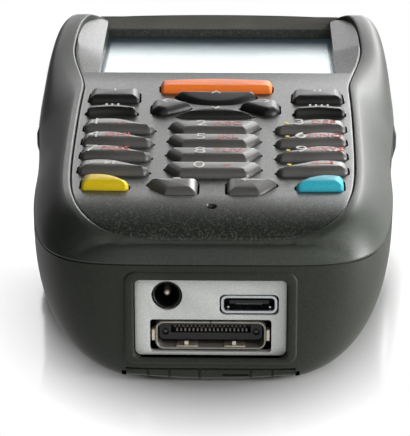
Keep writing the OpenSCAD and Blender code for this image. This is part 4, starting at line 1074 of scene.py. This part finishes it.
# Marks on the keys: a thin print that stands just proud of the crowned tops
MARK_LOW, MARK_HIGH = KEY_TOP - 0.13, KEY_TOP + 0.01
DIGIT_H, DIGIT_THIN, LETTER_H, CAP_SHARE = 4.0, -0.05, 2.5, 0.729
BAR_PITCH, BAR_H, BAR_W, DOT_R, DOT_X, DOT_DOWN = 1.25, 1.5, 0.42, 0.42, 15.0, 0.9


def lettering(text, at, height, width=1.0, bold=0.0):
    """Raised print: the built-in typeface's outlines, closed and moved to a place on a key's top."""
    curve = bpy.data.curves.new("print", "FONT")
    curve.body, curve.size, curve.offset = text, height / CAP_SHARE, bold
    curve.align_x, curve.align_y = "CENTER", "CENTER"
    curve.resolution_u = 3
    curve.extrude = (MARK_HIGH - MARK_LOW) / 2
    obj = bpy.data.objects.new("print", curve)
    scene.collection.objects.link(obj)
    mesh = obj.to_mesh()
    points = np.empty(len(mesh.vertices) * 3)
    mesh.vertices.foreach_get("co", points)
    faces = [list(f.vertices) for f in mesh.polygons]
    obj.to_mesh_clear()
    bpy.data.objects.remove(obj)
    bpy.data.curves.remove(curve)
    points, back = np.unique(points.reshape(-1, 3).round(5), axis=0, return_inverse=True)
    faces = [[int(back[v]) for v in face] for face in faces]
    return points * (width, 1, 1) + (*at, (MARK_LOW + MARK_HIGH) / 2), faces


def flat_mark(outline):
    """Outline printed on a key's top."""
    return prism(outline, MARK_LOW, MARK_HIGH)


def stroke(points, width):
    """Flat mark along a line of points: the line offset to both sides by half its width."""
    p = np.asarray(points, float)
    along = np.gradient(p, axis=0)
    along /= np.linalg.norm(along, axis=1, keepdims=True)
    side = np.stack([-along[:, 1], along[:, 0]], 1) * width / 2
    return flat_mark(np.vstack([p + side, (p - side)[::-1]]))


def chevron(at, size, turn):
    """Angle mark: two arms of one length, turned about its place."""
    arms = np.array([[-1.0, -0.5], [0.0, 0.5], [1.0, -0.5]]) * size
    outline = np.vstack([arms, (arms - (0, 0.62 * size))[::-1]])
    c, s = math.cos(turn), math.sin(turn)
    return flat_mark(outline @ np.array([[c, s], [-s, c]]) + at)


def arrow(at, size, way, bar=False):
    """Arrow along x: a shaft and a head, with a stop bar before it where asked."""
    x, y = at
    head = np.array([[1.0, 0.0], [0.35, 0.42], [0.35, -0.42]]) * (size * way, size) + at
    made = [flat_mark(head), stroke([(x - way * size, y), (x + way * 0.35 * size, y)], 0.24 * size)]
    if bar:
        stop = x + way * 1.15 * size
        made.append(stroke([(stop, y - 0.5 * size), (stop, y + 0.5 * size)], 0.22 * size))
    return made


def bars(at, count):
    """Upright bars side by side, as many as asked, about a place."""
    x, y = at
    places = x + (np.arange(count) - (count - 1) / 2) * BAR_PITCH
    return [stroke([(p, y - BAR_H / 2), (p, y + BAR_H / 2)], BAR_W) for p in places]


def dash(x0, x1, y, width):
    """Level dash between two places."""
    return stroke([(x0, y), (x1, y)], width)


LETTERS = dict(zip("123456789", (".,-", "ABC", "DEF", "GHI", "JKL", "MNO", "PQRS", "TUV", "WXYZ")))
# Places of digit and letters on a left, middle and right number key: x of each, and both along y
NUMBER_MARKS = ((-24.8, -19.9, -0.2), (-2.75, 2.8, -1.3), (17.7, 22.7, -0.2))
LETTER_WIDE, LETTER_NARROW = 0.9, 0.7
marks = {}
for y, names in zip(ROW_Y[:3], NUMBER_ROWS):
    for name, (digit_x, letter_x, up) in zip(names, NUMBER_MARKS):
        digit = name[-1]
        letters = LETTERS[digit]
        width = LETTER_WIDE if len(letters) < 4 else LETTER_NARROW
        marks[name] = [
            ("digit", white_ink, [lettering(digit, (digit_x, y + up), DIGIT_H, bold=DIGIT_THIN)]),
            ("letters", red_ink, [lettering(letters, (letter_x, y + up), LETTER_H, width)]),
        ]
last_y = ROW_Y[3]
zero_x, _, zero_up = NUMBER_MARKS[1]
enter = arrow((21.5, last_y - 0.1), size=2.2, way=-1)
enter.append(stroke([(23.4, last_y - 0.2), (23.4, last_y + 1.5)], width=0.5))
marks["key_0"] = [
    ("digit", white_ink, [lettering("0", (zero_x, last_y + zero_up), DIGIT_H, bold=DIGIT_THIN)]),
    ("dash", red_ink, [dash(1.9, 3.5, last_y + zero_up, width=0.55)]),
]
marks["tab_key"] = [("sign", white_ink, arrow((-22.2, last_y - 0.1), size=2.2, way=1, bar=True))]
marks["enter_key"] = [("sign", red_ink, enter)]
marks["grey_left_key"] = [("dash", white_ink, [dash(-7.6, -6.2, y=-52.9, width=0.5)])]
marks["grey_right_key"] = [("sign", white_ink, arrow((7.2, -53.3), size=1.9, way=-1))]
for name, at, size, turn in (
    ("up_key", (0, 8.3), 0.95, 0),
    ("down_key", (0, -4.6), 0.8, math.pi),
    ("left_key", (-11.3, 0.2), 0.95, math.pi / 2),
    ("right_key", (11.3, 0.2), 0.95, -math.pi / 2),
):
    marks[name] = [("sign", white_ink, [chevron(at, size, turn)])]
for count, (name, at) in enumerate((
    ("upper_left_key", (-22.2, 8.6)),
    ("upper_right_key", (22.2, 8.6)),
    ("lower_left_key", (-22.2, -3.1)),
    ("lower_right_key", (22.2, -3.1)),
), start=1):
    marks[name] = [("sign", white_ink, bars(at, count))]
for y, names in zip(ROW_Y, NUMBER_ROWS):
    dot = flat_mark(circle(DOT_R, (DOT_X, y - DOT_DOWN), n=16))
    marks[names[2]].append(("dot", yellow_rubber, [dot]))
for name, groups in marks.items():
    for kind, ink, shapes in groups:
        shapes = [tilted(shape, name) for shape in shapes]
        piece(f"{name}_{kind}", shapes, ink, KEY_FINISH[name][1], body=name, sharp=30)

# Solids that stay as they are, and the finish of each
for finish, names in (
    (seal_rubber, ("housing_gasket",)),
    (sheet_steel, ("display_tray", "dome_switches", "side_switches")),
    (sheet_steel, ("radio_card", "backup_cell", "microphone")),
    (solder_mask, ("keypad_board", "main_board")),
    (cable_film, ("board_link",)),
    (module_plastic, ("scan_engine",)),
    (scan_red, ("scan_window",)),
    (cell_wrap, ("battery_pack",)),
    (plated_brass, ("battery_contacts",)),
    (black_nylon, ("speaker",)),
    (screw_steel, ("board_screws",)),
):
    for name in names:
        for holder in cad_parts[name].material_slots:
            holder.material = finish

# Table, studio and camera
TABLE_HALF, TABLE_LOW, TABLE_TOP = 4000, -20, -0.02
# Oval around the terminal in which the camera sees the table itself: half-sizes, and shares of its edge
SPOT_X, SPOT_Y, SPOT_EDGE = 50, 99, (0.765, 1.03)


def white_rays(tree, fade=1.0):
    """Share of white that a ray sees: all of it off or through a surface, and a share from the camera."""
    path = add(tree, "ShaderNodeLightPath").outputs
    direct = add(tree, "ShaderNodeMath", {0: path["Is Camera Ray"], 1: fade}, operation="MULTIPLY")
    off = add(tree, "ShaderNodeMath", {0: direct.outputs[0], 1: path["Is Glossy Ray"]}, operation="MAXIMUM")
    through = {0: off.outputs[0], 1: path["Is Transmission Ray"]}
    return add(tree, "ShaderNodeMath", through, operation="MAXIMUM").outputs[0]


def glossy_table(name):
    """White lacquered table: mirrors the terminal near it, and fades to the white of the studio.

    Its IOR is set far above a lacquer's own, which makes the mirror image strong.
    """
    material, tree, place = new_finish(name)
    cloud = add(tree, "ShaderNodeTexNoise", {"Vector": place, "Scale": per_mm(400)})
    tone = add(tree, "ShaderNodeMix", {
        "Factor": cloud.outputs["Fac"], "A": linear("#b6b6b5"), "B": linear("#bbbbbb"),
    }, data_type="RGBA")
    shader = add(tree, "ShaderNodeBsdfPrincipled", {
        "Base Color": tone.outputs["Result"], "Roughness": 0.1, "IOR": 3.2,
    })
    spot = add(tree, "ShaderNodeMapping", {"Vector": place, "Scale": (per_mm(SPOT_X), per_mm(SPOT_Y), 0)})
    reach = add(tree, "ShaderNodeVectorMath", {0: spot.outputs["Vector"]}, operation="LENGTH")
    fade = add(tree, "ShaderNodeMapRange", {
        "Value": reach.outputs["Value"], "From Min": SPOT_EDGE[0], "From Max": SPOT_EDGE[1],
    })
    share = white_rays(tree, fade.outputs["Result"])
    glow = add(tree, "ShaderNodeEmission", {"Color": linear("#ffffff"), "Strength": 1.0})
    both = add(tree, "ShaderNodeMixShader", {0: share, 1: shader.outputs["BSDF"], 2: glow.outputs[0]})
    add(tree, "ShaderNodeOutputMaterial", {"Surface": both.outputs[0]})
    return material


floor = mesh_object("table_top", [
    block((-TABLE_HALF, -TABLE_HALF, TABLE_LOW), (TABLE_HALF, TABLE_HALF, TABLE_TOP)),
])
floor.data.materials.append(glossy_table("white_glossy_table"))

world = bpy.data.worlds.new("studio")
scene.world = world
world.use_nodes = True
tree = world.node_tree
tree.nodes.clear()
soft = add(tree, "ShaderNodeBackground", {"Color": linear("#f4f6f8"), "Strength": 0.08})
white = add(tree, "ShaderNodeBackground", {"Color": linear("#ffffff"), "Strength": 1.0})
both = add(tree, "ShaderNodeMixShader", {0: white_rays(tree), 1: soft.outputs[0], 2: white.outputs[0]})
add(tree, "ShaderNodeOutputWorld", {"Surface": both.outputs[0]})

# Dark studio cards that show only in reflections: the two corners of each
ROOM, ROOM_FAR, ROOM_TOP, CARD_T = 1500, 2300, 1200, 10
for name, low, high in (
    ("ceiling_flag", (-ROOM, -ROOM, ROOM_TOP), (ROOM, ROOM_FAR, ROOM_TOP + CARD_T)),
    ("back_flag", (-ROOM - 100, ROOM_FAR, 0), (ROOM + 100, ROOM_FAR + CARD_T, ROOM_TOP)),
    ("left_flag", (-ROOM - CARD_T, -ROOM, 0), (-ROOM, ROOM_FAR, ROOM_TOP)),
    ("left_table_flag", (-ROOM + CARD_T, -ROOM, 0.5), (-120, ROOM_FAR - CARD_T, 1)),
    ("right_flag", (ROOM, -ROOM, 0), (ROOM + CARD_T, ROOM_FAR, ROOM_TOP)),
    ("front_flag", (-ROOM, -ROOM - CARD_T, 0), (ROOM, -ROOM, ROOM_TOP)),
):
    card = mesh_object(name, [block(low, high)])
    card.data.materials.append(seal_rubber)
    card.visible_camera = card.visible_shadow = card.visible_diffuse = card.visible_transmission = False


def softbox(name, place, aim, size, watts):
    """Rectangular area lamp at a place, turned to a height above the origin."""
    lamp = bpy.data.lights.new(name, "AREA")
    lamp.shape = "RECTANGLE"
    lamp.energy = watts
    lamp.size, lamp.size_y = size
    obj = bpy.data.objects.new(name, lamp)
    scene.collection.objects.link(obj)
    obj.location = place
    obj.rotation_euler = (Vector((0, 0, aim)) - Vector(place)).to_track_quat("-Z", "Y").to_euler()
    return obj


# Softboxes: place in metres, height of the aim, width and height, and power in watts
softbox("key_softbox", (0.7, 1.6, 0.78), aim=0.03, size=(1.1, 0.36), watts=21)
softbox("back_softbox", (0, 1.6, 0.3), aim=0.03, size=(0.7, 0.56), watts=3.6)
softbox("right_back_softbox", (0.8, 1.6, 0.3), aim=0.03, size=(0.9, 0.56), watts=2.6)
softbox("left_back_softbox", (-0.65, 1.6, 0.68), aim=0.03, size=(1.0, 0.5), watts=3.2)
softbox("right_softbox", (0.9, -0.1, 0.14), aim=0.03, size=(0.5, 0.25), watts=12)
softbox("front_fill", (0.2, -1.0, 0.56), aim=0.02, size=(1.6, 1.0), watts=3.2)
side_fill = softbox("side_fill", (0.7, -0.5, 0.6), aim=0.02, size=(0.5, 0.5), watts=4.2)
side_fill.visible_glossy = False

# Camera as solved from the photograph: place in metres, angles in degrees, lens and sensor in millimetres
CAMERA_AT, LOOK_DOWN, LOOK_LEFT = (0.005346, -0.45728, 0.166993), math.radians(19.3), math.radians(0.96)
LENS, SENSOR_W, CLIP = 181.65, 36.0, (0.01, 50)
far, down = math.cos(LOOK_DOWN), math.sin(LOOK_DOWN)
ahead = Vector((-math.sin(LOOK_LEFT) * far, math.cos(LOOK_LEFT) * far, -down))
camera = bpy.data.objects.new("camera", bpy.data.cameras.new("camera"))
scene.collection.objects.link(camera)
camera.location = CAMERA_AT
camera.rotation_euler = ahead.to_track_quat("-Z", "Y").to_euler()
camera.data.lens, camera.data.sensor_width = LENS, SENSOR_W
camera.data.clip_start, camera.data.clip_end = CLIP
scene.camera = camera
